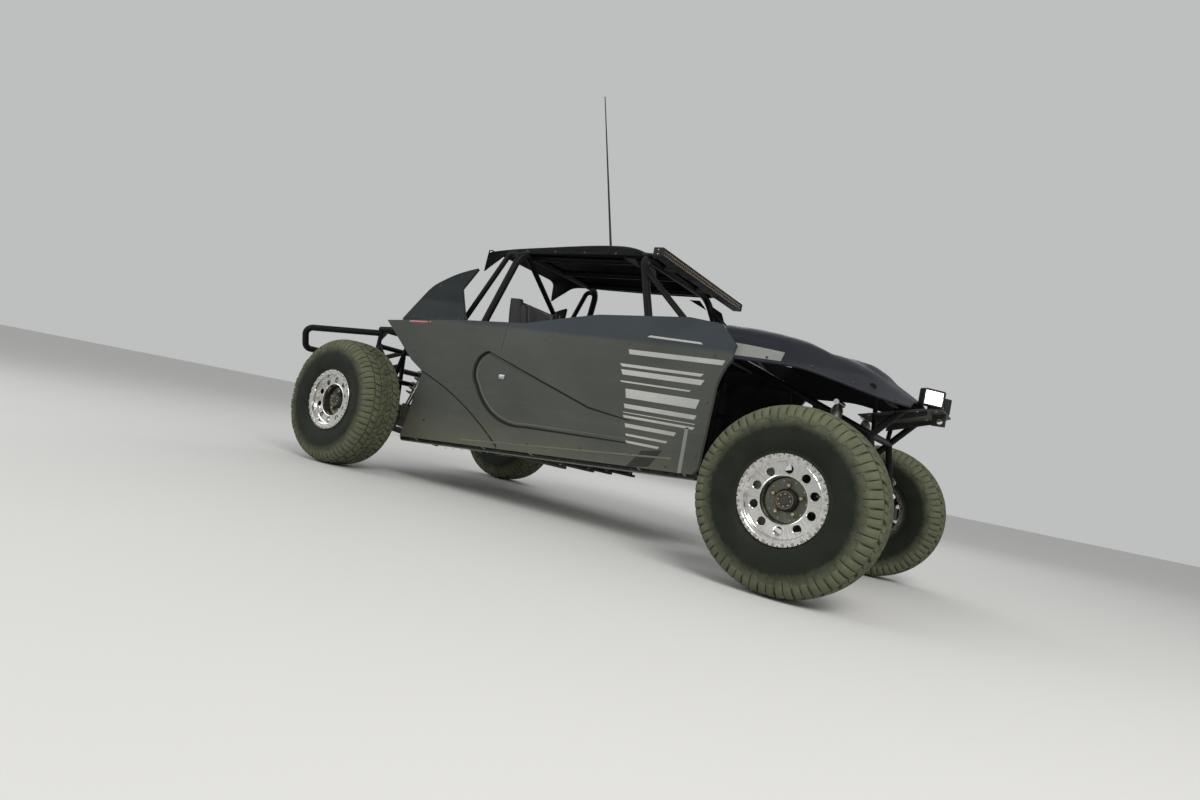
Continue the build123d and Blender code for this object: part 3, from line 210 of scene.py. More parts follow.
def wheel_material(name, base, low, high, streak):
    """Polished, turned aluminium with streaks that run out from the centre."""
    g = Graph(name, base, low, 1.0)
    radius, angle = g.polar()
    x, y = (g.times(g.math(turn, angle), 5.0) for turn in ("SINE", "COSINE"))
    fan = g.node("CombineXYZ", X=x, Y=y, Z=g.times(radius, 3.0)).outputs[0]
    streaks = g.noise(6.5, 7, 0.7, fan)
    grime = g.span(g.noise(11, 6, 0.6), 0.5, 0.75)
    tone = g.mix(g.times(g.span(streaks, 0.46, 0.70), streak), base, (0.34, 0.34, 0.31))
    g.colour(g.mix(g.times(grime, 0.25), tone, (0.26, 0.25, 0.20)))
    g.roughness(g.span(g.plus(streaks, g.times(grime, 0.4)), 0.35, 0.95, low, high))
    g.bump(g.wave(radius, 900.0), 0.05, 0.0003)
    g.bump(streaks, 0.08, 0.0012)
    return g.material


def cloth_material(name, deep, pale, threads=900.0, **sockets):
    """Woven cloth: two crossed sets of threads under a soft sheen."""
    g = Graph(name, deep, **{"roughness": 0.88, "Sheen_Weight": 0.35, "Sheen_Roughness": 0.4, **sockets})
    weave = g.times(g.wave(g.y, threads * 2), g.wave(g.plus(g.x, g.z), threads * 2))
    g.colour(g.mix(g.span(g.plus(weave, g.times(g.noise(12), 1.2)), -0.6, 1.6), deep, pale))
    g.bump(weave, 0.35, 0.0006)
    g.bump(g.noise(60, 4), 0.2, 0.001)
    return g.material


def glass_material(name, tint, ior=1.45, rough=0.04):
    g = Graph(name, tint, rough, Transmission_Weight=0.92, IOR=ior)
    g.roughness(g.span(g.noise(40, 6), 0.4, 0.75, rough, rough + 0.18))
    g.bump(g.noise(30, 2), 0.05, 0.0005)
    return g.material


def lit_material(name, colour, strength):
    g = Graph(name, colour, 0.35, Emission_Strength=strength)
    pattern = g.span(g.cells(160), 0.1, 0.6, 1.0, 0.7)
    g.put(g.shader.inputs["Emission Color"], g.mix(pattern, [c * 0.8 for c in colour], colour))
    g.bump(g.cells(160), 0.3, 0.0008)
    return g.material


def body_paint(name, low_tones, high_tones, switch):
    """Satin wrap, one pair of tones below a height and one above it, with dust blown back in streaks."""
    g = Graph(name, low_tones[0], 0.5, Specular_IOR_Level=0.16)
    cloud = g.span(g.noise(1.7, 4), 0.35, 0.68)
    low, high = g.mix(cloud, *low_tones), g.mix(cloud, *high_tones)
    tone = g.mix(g.span(g.z, switch - 0.012, switch + 0.012), low, high)
    streaks = g.span(g.noise(9.0, 8, 0.68, g.stretch(0.22, 1.0, 2.2)), 0.5, 0.78)
    film = g.times(streaks, g.span(g.z, 1.15, 0.35, 0.16, 0.75))
    settled = g.times(g.upward(0.55, 1.0), g.span(g.noise(14, 8, 0.7), 0.3, 0.75, 0.0, 0.10))
    tone = g.mix(g.times(film, 0.42), tone, (0.150, 0.150, 0.108))
    tone = g.mix(settled, tone, (0.17, 0.165, 0.14))
    splash = g.times(g.span(g.plus(g.z, g.times(g.noise(5, 8, 0.7), 0.22)), 0.66, 0.46), 0.42)
    tone = g.mix(splash, tone, (0.155, 0.150, 0.105))
    g.colour(g.mix(g.inward(), tone, (0.006, 0.0063, 0.006)))
    g.roughness(g.span(g.plus(g.noise(16, 7), film), 0.3, 1.1, 0.42, 0.68))
    g.bump(g.noise(2.4, 2), 0.10, 0.006)
    g.bump(g.noise(1100, 2), 0.28, 0.00018)
    return g.material


def floor_material():
    """Scraped aluminium underneath, black powder coat inside and on the upright rails."""
    g = Graph("coated_floor", (0.02, 0.021, 0.02), 0.5, 1.0, Specular_IOR_Level=0.25)
    under = g.upward(-0.55, -0.95)
    lines = g.noise(30, 8, 0.75, g.stretch(0.6, 22, 22))
    metal = g.mix(g.span(lines, 0.35, 0.7), (0.34, 0.335, 0.31), (0.52, 0.51, 0.48))
    coat = g.mix(g.span(g.noise(26, 8, 0.7), 0.45, 0.8), (0.014, 0.0145, 0.013), (0.085, 0.082, 0.060))
    g.colour(g.mix(under, coat, metal))
    g.put(g.shader.inputs["Metallic"], under)
    g.roughness(g.span(lines, 0.3, 0.8, 0.34, 0.66))
    g.bump(lines, 0.35, 0.0004)
    return g.material


# above the crease the side panels turn bluer: painted reflection of the sky on the shoulder, which leans up
panel = body_paint(
    "panel_wrap", ((0.058, 0.062, 0.055), (0.074, 0.078, 0.068)), ((0.031, 0.039, 0.045), (0.042, 0.052, 0.058)),
    1.150,
)
fin_wrap = body_paint(
    "fin_wrap", ((0.016, 0.020, 0.021), (0.023, 0.027, 0.028)), ((0.007, 0.010, 0.011), (0.012, 0.016, 0.017)), 1.30,
)
shoulder = body_paint(
    "hood_wrap", ((0.017, 0.019, 0.025), (0.027, 0.030, 0.037)), ((0.010, 0.012, 0.018), (0.018, 0.021, 0.028)), 1.15,
)
liner = painted("inner_liner", (0.004, 0.0042, 0.0042), (0.008, 0.0082, 0.008), 0.85, dust=0.12)
# near-black: painted shadow inside the teardrop pocket, and the dark joints of the seams
groove_black = painted("groove_black", (0.005, 0.0055, 0.0055), (0.010, 0.0105, 0.010), 0.55, dust=0.15)
# painted highlight along the inside of the teardrop pocket's edge
pocket_painted_highlight = painted("pocket_light_band", (0.085, 0.090, 0.074), (0.120, 0.126, 0.104), 0.42, dust=0.3)
edge_strip = painted("sill_strip", (0.100, 0.103, 0.078), (0.145, 0.148, 0.112), 0.5, dust=0.4)
cage = painted(
    "cage_powder_coat", (0.005, 0.0054, 0.0053), (0.009, 0.0095, 0.009), 0.46, dust=0.3, grain=1500,
    reach=(0.55, 0.2), Specular_IOR_Level=0.13,
)
roof = painted(
    "roof_satin", (0.0028, 0.0032, 0.0030), (0.0050, 0.0054, 0.0050), 0.62, grain=500, grain_height=0.0001,
    Specular_IOR_Level=0.04,
)
arm_steel = painted(
    "arm_powder_coat", (0.016, 0.016, 0.017), (0.026, 0.026, 0.027), 0.42, dust=0.65, grain=1100, reach=(0.9, 0.2),
)
plastic = painted(
    "moulded_plastic", (0.014, 0.014, 0.015), (0.021, 0.021, 0.022), 0.6, grain=420, grain_height=0.0006,
)
casing = painted("battery_case_coat", (0.075, 0.078, 0.084), (0.10, 0.104, 0.11), 0.5, dust=0.3, reach=(0.8, 0.2))
casting = bare_metal("drive_casting", (0.36, 0.36, 0.37), 0.45, (1, 1, 1), 0.5, 0.0012)
skid = bare_metal("scratched_skid_aluminium", (0.60, 0.59, 0.56), 0.30, (0.6, 22, 22), 0.35)
coated_floor = floor_material()
plate_metal = bare_metal("brushed_nose_aluminium", (0.075, 0.077, 0.070), 0.42, (0.8, 18, 18), 0.4)
knuckle_metal = bare_metal("machined_knuckle", (0.30, 0.30, 0.31), 0.36, (3, 20, 3), 0.45)
spring_metal = bare_metal("spring_wire", (0.42, 0.40, 0.35), 0.28, (3, 3, 20), 0.3)
shock_metal = bare_metal("shock_body_nickel", (0.34, 0.33, 0.31), 0.30, (3, 3, 20), 0.25)
chrome = bare_metal("shock_rod_chrome", (0.78, 0.78, 0.80), 0.08, (2, 2, 30), 0.08, 0.0001)
fastener = bare_metal("zinc_fastener", (0.52, 0.52, 0.53), 0.32, (8, 8, 8), 0.25)
dull_fastener = bare_metal("dull_fastener", (0.11, 0.112, 0.11), 0.5, (8, 8, 8), 0.4)
gold_nut = bare_metal("bronze_wheel_nut", (0.30, 0.235, 0.12), 0.34, (9, 9, 9), 0.4)
hub_metal = bare_metal("hub_dark_steel", (0.085, 0.087, 0.078), 0.42, (5, 25, 5), 0.5)
rubber = rubber_material()
wheel_alloy = wheel_material("polished_wheel", (0.83, 0.82, 0.79), 0.10, 0.34, 0.75)
ring_alloy = wheel_material("polished_beadlock", (0.80, 0.79, 0.75), 0.16, 0.42, 0.45)
well_metal = wheel_material("dusty_wheel_well", (0.115, 0.125, 0.095), 0.34, 0.6, 0.5)
seat_cloth = cloth_material("seat_weave", (0.016, 0.016, 0.018), (0.034, 0.034, 0.037))
webbing_dark = cloth_material("seat_piping", (0.05, 0.05, 0.052), (0.075, 0.075, 0.078), 1500)
webbing = cloth_material("harness_webbing", (0.075, 0.012, 0.010), (0.12, 0.02, 0.016), 1400)
grip = painted(
    "suede_grip", (0.012, 0.012, 0.012), (0.022, 0.022, 0.022), 0.9, grain=700, grain_height=0.0012, Sheen_Weight=0.3,
)
clear = glass_material("lamp_glass", (0.93, 0.94, 0.95))
smoked = glass_material("smoked_glass", (0.30, 0.27, 0.24), 1.12)
red_lens = painted(
    "red_lens", (0.28, 0.006, 0.006), (0.38, 0.012, 0.010), 0.14, grain=260, grain_height=0.0015, Coat_Weight=0.6,
)
amber_cell = lit_material("lamp_cell", (0.16, 0.115, 0.08), 0.10)
bright_cell = lit_material("lit_lamp", (1.0, 0.99, 0.95), 3.2)
bright_dot = lit_material("bar_dot", (1.0, 0.90, 0.74), 0.55)
glow = lit_material("lamp_reflector", (1.0, 0.98, 0.93), 2.4)
red_cell = lit_material("red_lamp_cell", (0.55, 0.02, 0.02), 0.30)
screen = painted(
    "dark_display", (0.004, 0.0045, 0.005), (0.008, 0.0085, 0.009), 0.12, grain=300, grain_height=0.0001,
    Coat_Weight=0.7,
)
carbon = cloth_material(
    "seat_shell_composite", (0.008, 0.008, 0.009), (0.022, 0.022, 0.024), 420,
    roughness=0.42, Sheen_Weight=0.0, Specular_IOR_Level=0.25,
)
soft_decal = painted("grey_decal", (0.17, 0.175, 0.165), (0.25, 0.255, 0.24), 0.46, dust=0.35)
decal = painted("pale_decal", (0.33, 0.335, 0.31), (0.46, 0.465, 0.43), 0.5, dust=0.45)
dark_decal = painted("dark_band", (0.012, 0.012, 0.013), (0.018, 0.018, 0.019), 0.42, dust=0.2)
pink_decal = painted("pink_stripe", (0.40, 0.22, 0.22), (0.48, 0.30, 0.29), 0.45)
red_decal = painted("red_stripe", (0.30, 0.015, 0.015), (0.36, 0.03, 0.025), 0.45)

node_materials = {
    "painted_cage": cage, "body_panel": panel, "roof_panel": roof, "battery_case": casing, "drive_casting": casting,
    "steel_parts": arm_steel, "spring_steel": spring_metal, "knuckle_casting": knuckle_metal, "tyre": rubber,
    "wheel_alloy": wheel_alloy, "hub_metal": hub_metal, "lamp_body": plastic, "lamp_lens": clear,
    "tail_lamp": red_lens,
    "antenna": plastic, "seat_cover": seat_cloth, "trim": plastic, "bare_aluminium": skid,
}
slot_of = {row["node"]: row["material_slot"] for row in frame["record"]["subparts"]}
for name, obj in nodes.items():
    obj.data.materials.clear()
    obj.data.materials.append(node_materials[slot_of[name]])
nodes["nose_plate"].data.materials[0] = plate_metal
nodes["floor_pan"].data.materials[0] = coated_floor
nodes["quarter_fins"].data.materials[0] = fin_wrap


# Mesh building
BOX_FACES = [(0, 1, 3, 2), (4, 6, 7, 5), (0, 4, 5, 1), (2, 3, 7, 6), (0, 2, 6, 4), (1, 5, 7, 3)]


def circle_points(centre, u, v, radius, count):
    """Points round a centre, from the direction u towards v."""
    angles = [2 * math.pi * k / count for k in range(count)]
    return [centre + (u * math.cos(a) + v * math.sin(a)) * radius for a in angles]
class Shape:
    """Gathers the pieces of one mesh."""

    def __init__(self):
        self.points, self.faces, self.slots = [], [], []

    def add(self, points, faces, slot=0):
        start = len(self.points)
        self.points += [tuple(p) for p in points]
        self.faces += [tuple(start + i for i in face) for face in faces]
        self.slots += [slot] * len(faces)

    def rings(self, rings, slot=0, close=True, caps=True):
        """Skin over rings of points, each ring closed on itself."""
        count = len(rings[0])
        faces = []
        for a in range(len(rings) - 1):
            for b in range(count if close else count - 1):
                c = (b + 1) % count
                faces.append((a * count + b, a * count + c, (a + 1) * count + c, (a + 1) * count + b))
        if caps:
            faces.append(tuple(reversed(range(count))))
            faces.append(tuple(range((len(rings) - 1) * count, len(rings) * count)))
        self.add([p for ring in rings for p in ring], faces, slot)

    def lathe(self, profile, steps, slot=0, closed=True):
        """A profile of radius and outboard offset, turned about Y."""
        count = len(profile)
        points = [
            (r * math.cos(2 * math.pi * k / steps), -offset, r * math.sin(2 * math.pi * k / steps))
            for k in range(steps) for r, offset in profile
        ]
        faces = []
        for k in range(steps):
            n = (k + 1) % steps
            for i in range(count if closed else count - 1):
                j = (i + 1) % count
                faces.append((k * count + i, k * count + j, n * count + j, n * count + i))
        self.add(points, faces, slot)

    def tube(self, path, radius, sides=12, slot=0, closed=False):
        """A round tube along a path of points; the radius may be a list."""
        path = [Vector(p) for p in path]
        count = len(path)
        radii = radius if isinstance(radius, (list, tuple)) else [radius] * count
        tangents = []
        for i in range(count):
            before = path[i - 1] if (i or closed) else path[i]
            after = path[(i + 1) % count] if (i < count - 1 or closed) else path[i]
            tangents.append((after - before).normalized())
        normal = tangents[0].orthogonal().normalized()
        rings = []
        for i in range(count):
            normal = (normal - tangents[i] * normal.dot(tangents[i])).normalized()
            rings.append(circle_points(path[i], normal, tangents[i].cross(normal), radii[i], sides))
        if closed:
            rings.append(rings[0])
        self.rings(rings, slot, caps=not closed)

    def button(self, place, normal, radius, height, sides=12, slot=0, dome=0.3):
        """A round or many-sided head standing on a surface."""
        normal = Vector(normal).normalized()
        u = normal.orthogonal().normalized()
        v = normal.cross(u)
        rings = [
            circle_points(Vector(place) + normal * lift, u, v, radius * share, sides)
            for share, lift in ((1, -0.001), (1, height * (1 - dome)), (0.82, height), (0.45, height))
        ]
        self.rings(rings, slot)

    def bolt(self, place, normal, washer, head, lift, slot, sides, dome=0.2):
        """A washer and the six-sided head that stands on it, each given by radius and height."""
        self.button(place, normal, *washer, sides, slot, 0.3)
        self.button(Vector(place) + Vector(normal) * lift, normal, *head, 6, slot, dome)

    def box(self, low, high, slot=0, bevel=0.0):
        """A box between two corners with its edges cut."""
        (a, b, c), (d, e, f) = low, high
        if bevel <= 0:
            points = [(x, y, z) for x in (a, d) for y in (b, e) for z in (c, f)]
            self.add(points, BOX_FACES, slot)
            return
        rings = []
        for z, s in ((c, bevel), (c + bevel, 0), (f - bevel, 0), (f, bevel)):
            rings.append([
                (a + s + bevel, b + s, z), (d - s - bevel, b + s, z), (d - s, b + s + bevel, z),
                (d - s, e - s - bevel, z),
                (d - s - bevel, e - s, z), (a + s + bevel, e - s, z), (a + s, e - s - bevel, z),
                (a + s, b + s + bevel, z),
            ])
        self.rings(rings, slot)

    def prism(self, outline, lift, thickness, slot=0, cut=0.0):
        """A flat or bent plate: outline points on a surface, each lifted along its normal."""
        low = [Vector(p) + Vector(n) * lift for p, n in outline]
        high = [Vector(p) + Vector(n) * (lift + thickness) for p, n in outline]
        centre = sum(high, Vector()) / len(high)
        if cut:
            inner = [p + (centre - p).normalized() * cut for p in high]
            self.rings([low, [p - (p - q) * 0.25 for p, q in zip(high, low)], inner], slot)
        else:
            self.rings([low, high], slot)

    def make(self, name, materials, body="chassis", slot=None, at=None, turn=0.0, angle=35.0, data=None):
        """The finished object, riding on its body."""
        mesh = data or bpy.data.meshes.new(name)
        if data is None:
            mesh.from_pydata(self.points, [], self.faces)
            mesh.polygons.foreach_set("material_index", self.slots)
            mesh.polygons.foreach_set("use_smooth", [True] * len(self.faces))
            mesh.update()
            work = bmesh.new()
            work.from_mesh(mesh)
            bmesh.ops.recalc_face_normals(work, faces=work.faces)
            work.to_mesh(mesh)
            work.free()
            mesh.set_sharp_from_angle(angle=math.radians(angle))
            for material in materials:
                mesh.materials.append(material)
        obj = bpy.data.objects.new(name, mesh)
        bpy.context.scene.collection.objects.link(obj)
        if at is not None:
            obj.location = at
            obj.rotation_euler = (0, 0, turn)
        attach(obj, body)
        return obj


def smooth_path(points, steps):
    """A Catmull-Rom line through points, open at its ends."""
    points = [Vector(p) for p in points]
    line = []
    for i in range(len(points) - 1):
        a, b, c, d = points[max(i - 1, 0)], points[i], points[i + 1], points[min(i + 2, len(points) - 1)]
        for k in range(steps):
            t = k / steps
            line.append(
                0.5 * ((2 * b) + (c - a) * t + (2 * a - 5 * b + 4 * c - d) * t * t + (3 * b - a - 3 * c + d) * t ** 3)
            )
    return line + [points[-1]]


def plane_path(points, steps):
    """The same line through points of two numbers."""
    return smooth_path([(a, b, 0) for a, b in points], steps)


def around(count, radius, offset, phase=0.0):
    """Places round the Y axis at an outboard offset."""
    for k in range(count):
        angle = 2 * math.pi * k / count + phase
        yield Vector((radius * math.cos(angle), -offset, radius * math.sin(angle)))
# Tyres: a smooth carcass, block tread on the crown and lugs that wrap the shoulder
TYRE_SIDE = [
    # radius, offset from the wheel's middle plane
    (0.191, 0.107), (0.199, 0.115), (0.222, 0.130), (0.258, 0.146), (0.298, 0.1545), (0.335, 0.1565),
    (0.366, 0.1530), (0.392, 0.1420), (0.411, 0.1240), (0.4235, 0.0980), (0.4295, 0.0620), (0.4312, 0.0250),
    (0.4315, 0.0),
]
CROWN_RADIUS = TYRE_SIDE[-1][0]
TREAD_HEIGHT = 0.0132
PITCHES = 32
side_line = plane_path(TYRE_SIDE, 5)
crown_out = list(reversed(side_line))
reach = [0.0]
for a, b in zip(crown_out, crown_out[1:]):
    reach.append(reach[-1] + (b - a).length)


def on_tyre(angle, along, height, side):
    """A point over the tyre: along is the distance outwards from the crown's middle line."""
    along = max(0.0, min(abs(along), reach[-1] - 1e-6))
    i = max(k for k in range(len(reach) - 1) if reach[k] <= along)
    t = (along - reach[i]) / (reach[i + 1] - reach[i])
    p = crown_out[i].lerp(crown_out[i + 1], t)
    d = (crown_out[min(i + 2, len(reach) - 1)] - crown_out[max(i - 1, 0)]).normalized()
    out = Vector((d.y, -d.x))
    if out.x < 0 and abs(d.y) > 0.5:
        out = -out
    r, w = p.x + out.x * height, p.y + out.y * height
    return r * math.cos(angle), side * w, r * math.sin(angle)


def tread_block(shape, angle, along, size, height, side, skew=0.0, taper=0.0, cells=(3, 3)):
    """A chamfered block that follows the tyre's surface: size is its length round the tyre and its width."""
    nu, nv = cells
    us = [0, 0.09] + [k / nu for k in range(1, nu)] + [0.91, 1]
    vs = [0, 0.07] + [k / nv for k in range(1, nv)] + [0.93, 1]

    def place(u, v, lift, margin=0.0):
        width = size[0] * (1 - taper * v) + margin
        turn = ((u - 0.5) * width + skew * (v - 0.5) * side) / CROWN_RADIUS
        return on_tyre(angle + turn, along + v * size[1], lift, side)

    points = []
    for v in vs:
        for u in us:
            edge = u in (0, 1) or v in (0, 1)
            points.append(place(u, v, height(v) - (0.0022 if edge else 0.0)))
    n, rows = len(us), len(vs)
    faces = [
        (i * n + j, i * n + j + 1, (i + 1) * n + j + 1, (i + 1) * n + j)
        for i in range(rows - 1) for j in range(n - 1)
    ]
    border = [(0, j) for j in range(n)] + [(i, n - 1) for i in range(1, rows)]
    border += [(rows - 1, j) for j in range(n - 2, -1, -1)] + [(i, 0) for i in range(rows - 2, 0, -1)]
    base = len(points)
    points += [place(us[j], vs[i], -0.003, 0.003) for i, j in border]
    for k, (i, j) in enumerate(border):
        after = (k + 1) % len(border)
        faces.append((i * n + j, border[after][0] * n + border[after][1], base + after, base + k))
    shape.add(points, faces)


def crown_height(v):
    return TREAD_HEIGHT


def lug_height(v):
    return TREAD_HEIGHT - 0.0092 * max(0.0, (v - 0.42) / 0.58) ** 0.8


def scallop_height(v):
    return 0.003


def tyre_shape():
    shape = Shape()
    ribs = []
    for point in side_line:
        raised = 0.236 < point.x < 0.243 or 0.344 < point.x < 0.349
        ribs.append((point.x, point.y + (0.0016 if raised else 0.0)))
    hollow = [(0.191, 0.095), (0.240, 0.118), (0.330, 0.142), (0.398, 0.112)]
    inner = [(r, -w) for r, w in hollow] + [(0.411, 0.0)] + hollow[::-1]
    shape.lathe(ribs + [(r, -w) for r, w in reversed(ribs[:-1])] + inner, 120)
    step = 2 * math.pi / PITCHES
    length = 0.428 * step
    for k in range(PITCHES):
        for side in SIDES:
            base = (k + (0.5 if side > 0 else 0.0)) * step
            # two rows of crown blocks a side, each split by a fine cut
            for row, (along, share, skew) in enumerate(((0.006, 0.80, 0.022), (0.054, 0.78, -0.016))):
                size = (length * share * 0.5 - 0.0016, 0.040)
                for half in SIDES:
                    turn = base + row * 0.42 * step + half * 0.205 * step
                    tread_block(shape, turn, along, size, crown_height, side, skew, cells=(2, 3))
            # shoulder lugs, long and short in turn, run down on to the sidewall
            size = (length * 0.45, 0.094 if k % 2 else 0.072)
            for half in SIDES:
                turn = base + 0.1 * step + half * 0.235 * step
                tread_block(shape, turn, 0.100, size, lug_height, side, taper=0.16, cells=(2, 7))
            # small scallops between them
            size = (length * 0.2, 0.020)
            tread_block(shape, base + 0.6 * step, 0.162, size, scallop_height, side, taper=0.3, cells=(1, 2))
    return shape


def hole_plate(shape, r_in, r_out, holes, circle, hole, near, far, slot, chamfer):
    """A ring-shaped disc with round windows, from one face offset to the other."""
    half, edge = math.pi / holes, 8
    corners = [(r_out, -half), (r_out, half), (r_in, half), (r_in, -half)]
    outline = []
    for (r, a), (r_next, a_next) in zip(corners, corners[1:] + corners[:1]):
        outline += [(r + (r_next - r) * k / edge, a + (a_next - a) * k / edge) for k in range(edge)]
    lips = [(hole + chamfer, near), (hole, near - chamfer), (hole, far + chamfer), (hole + chamfer, far)]
    for number in range(holes):
        middle = (number + 0.5) * 2 * half
        cx, cz = circle * math.cos(middle), circle * math.sin(middle)
        border = [(r * math.cos(middle + a), r * math.sin(middle + a)) for r, a in outline]
        rings = [[(x, -near, z) for x, z in border]]
        for size, offset in lips:
            ring = []
            for x, z in border:
                share = size / math.hypot(x - cx, z - cz)
                ring.append((cx + (x - cx) * share, -offset, cz + (z - cz) * share))
            rings.append(ring)
        rings.append([(x, -far, z) for x, z in border])
        shape.rings(rings, slot, caps=False)


OUTBOARD = (0, -1, 0)
def rim_shape():
    """The wheel: barrel, windowed ring, the well down to the mount, beadlock ring and its bolts."""
    shape = Shape()
    barrel = [
        (0.1825, -0.1265), (0.186, -0.127), (0.2045, -0.127), (0.2050, -0.1195), (0.2035, -0.1185), (0.1935, -0.111),
        (0.191, -0.104),
        (0.191, 0.104), (0.1935, 0.111), (0.2040, 0.119), (0.2050, 0.1240), (0.1860, 0.1250), (0.1790, 0.1240),
        (0.1762, 0.1090),
        (0.1745, 0.1045), (0.1742, 0.0920), (0.1800, 0.0885), (0.1822, 0.0820),
    ]
    shape.lathe(barrel, 120, 0)
    hole_plate(shape, 0.1165, 0.1745, 10, 0.1425, 0.0195, 0.104, 0.092, 0, 0.0026)
    well = [(0.1170, 0.1040), (0.1140, 0.1048), (0.1112, 0.1040), (0.1098, 0.1005), (0.1072, 0.0760)]
    shape.lathe(well + [(0.1168, 0.0760), (0.1170, 0.0920)], 96, 0)
    mount = [
        (0.1072, 0.0762), (0.1046, 0.0510), (0.1030, 0.0472), (0.0995, 0.0460), (0.0545, 0.0460), (0.0528, 0.0445),
        (0.0523, 0.0340),
    ]
    shape.lathe(mount + [(0.1080, 0.0342), (0.1118, 0.0365), (0.1168, 0.0762)], 96, 4)
    lip = [
        (0.1792, 0.1255), (0.2105, 0.1250), (0.2120, 0.1265), (0.2120, 0.1362), (0.2100, 0.1386), (0.1950, 0.1386),
        (0.1925, 0.1368),
    ]
    lip += [(0.1862, 0.1368), (0.1838, 0.1386), (0.1812, 0.1386), (0.1796, 0.1370)]
    shape.lathe(lip, 144, 1)
    for place in around(28, 0.2012, 0.1385):
        shape.bolt(place, OUTBOARD, (0.0088, 0.0022), (0.0066, 0.0058), 0.0021, 2, 16, 0.25)
    # notches in the ring's edge between the bolts, small rivets inside them, a red mark at every fourth bolt
    for place in around(28, 0.2075, 0.1384, math.pi / 28):
        shape.button(place, OUTBOARD, 0.0038, 0.0007, 10, 3, 0.2)
    for place in around(24, 0.1893, 0.1366, math.pi / 24):
        shape.button(place, OUTBOARD, 0.0024, 0.0014, 8, 2)
    for place in around(7, 0.2068, 0.1385, 0.06):
        shape.button(place, OUTBOARD, 0.0030, 0.0008, 8, 5, 0.2)
    stem = next(around(1, 0.1600, 0.104, 0.31))
    shape.tube([stem + Vector(OUTBOARD) * out for out in (0, 0.010, 0.026)], [0.0052, 0.0046, 0.0040], 12, 3)
    return shape


def hub_shape():
    """Wheel nuts and the hub's bolted cap, deep in the well. Slots: nut, cap, fastener."""
    shape = Shape()
    for place in around(5, 0.0700, 0.0460, math.radians(18)):
        shape.bolt(place, OUTBOARD, (0.0160, 0.0040), (0.0136, 0.0140), 0.0035, 0, 24)
        shape.button(place + Vector(OUTBOARD) * 0.0170, OUTBOARD, 0.0074, 0.0040, 14, 2, 0.3)
    for place in around(10, 0.0905, 0.0460):
        shape.button(place, OUTBOARD, 0.0050, 0.0030, 6, 2, 0.3)
    nose = [
        (0.0521, 0.0500), (0.0532, 0.0515), (0.0532, 0.0655), (0.0518, 0.0690), (0.0460, 0.0790), (0.0430, 0.0866),
    ]
    shape.lathe(nose, 72, 1, closed=False)
    cap = [
        (0.0430, 0.0862), (0.0425, 0.0878), (0.0375, 0.0884), (0.0350, 0.0872), (0.0215, 0.0872), (0.0200, 0.0900),
        (0.0080, 0.0905), (0.0, 0.0905),
    ]
    shape.lathe(cap, 64, 1, closed=False)
    shape.lathe([(0.0418, 0.0877), (0.0412, 0.0888), (0.0382, 0.0889), (0.0376, 0.0882)], 64, 0, closed=False)
    for place in around(8, 0.0290, 0.0870):
        shape.button(place, OUTBOARD, 0.0040, 0.0034, 6, 2, 0.25)
    return shape


corner_pieces = [
    # kind, shape, materials, slot, sharp angle, kind of node replaced
    ("tread", tyre_shape(), [rubber], "tyre", 40, "tyre"),
    (
        "wheel", rim_shape(), [wheel_alloy, ring_alloy, fastener, rubber, well_metal, red_decal], "wheel_alloy", 28,
        "rim",
    ),
    ("hub_trim", hub_shape(), [gold_nut, hub_metal, fastener], "hub_metal", 30, None),
]
shared = {}
for body, at in SPINS.items():
    corner = body.replace("wheel_", "")
    turn = math.pi if corner.endswith("left") else 0.0
    for kind, shape, materials, slot, angle, replaced in corner_pieces:
        obj = shape.make(f"{kind}_{corner}", materials, body, slot, at, turn, angle, shared.get(kind))
        shared[kind] = obj.data
        if replaced:
            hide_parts(f"{replaced}_{corner}")


# Body sides: places on the outer face, which leans in above the crease and sinks into the teardrop pocket
SIDE, CREASE, LEAN = 0.725, 1.15, math.radians(20)
POCKET_REAR, POCKET_FRONT, POCKET_DEPTH = -0.585, 0.825, 0.020


def arc_through(a, b, c, steps):
    """Points of the arc from a over b to c."""
    (ax, ay), (bx, by), (cx, cy) = a, b, c
    d = 2 * (ax * (by - cy) + bx * (cy - ay) + cx * (ay - by))
    ux = ((ax * ax + ay * ay) * (by - cy) + (bx * bx + by * by) * (cy - ay) + (cx * cx + cy * cy) * (ay - by)) / d
    uy = ((ax * ax + ay * ay) * (cx - bx) + (bx * bx + by * by) * (ax - cx) + (cx * cx + cy * cy) * (bx - ax)) / d
    start, middle, end = (math.atan2(q[1] - uy, q[0] - ux) for q in (a, b, c))
    sweep = (end - start) % (2 * math.pi)
    if (middle - start) % (2 * math.pi) > sweep:
        sweep -= 2 * math.pi
    radius = math.hypot(ax - ux, ay - uy)
    return [
        (ux + radius * math.cos(start + sweep * k / steps), uy + radius * math.sin(start + sweep * k / steps))
        for k in range(steps + 1)
    ]


def side_face(x, z, side, lift=0.0, sunk=False):
    """A point over the body side's outer face."""
    if sunk:
        depth = POCKET_DEPTH * (POCKET_FRONT - x) / (POCKET_FRONT - POCKET_REAR)
        return Vector((x, side * (SIDE - depth + lift), z))
    over = max(0.0, z - CREASE)
    out = SIDE - over * math.tan(LEAN)
    if over:
        return Vector((x, side * (out + lift * math.cos(LEAN)), z + lift * math.sin(LEAN)))
    return Vector((x, side * (out + lift), z))


def side_normal(z, side):
    return Vector((0, side * math.cos(LEAN), math.sin(LEAN))) if z > CREASE else Vector((0, side, 0))


def side_plate(shape, outline, side, lift=0.0, thickness=0.0008, slot=0, cut=0.0):
    """A flat piece laid on the body side from its outline of x and z."""
    shape.prism([(side_face(x, z, side), side_normal(z, side)) for x, z in outline], lift, thickness, slot, cut)


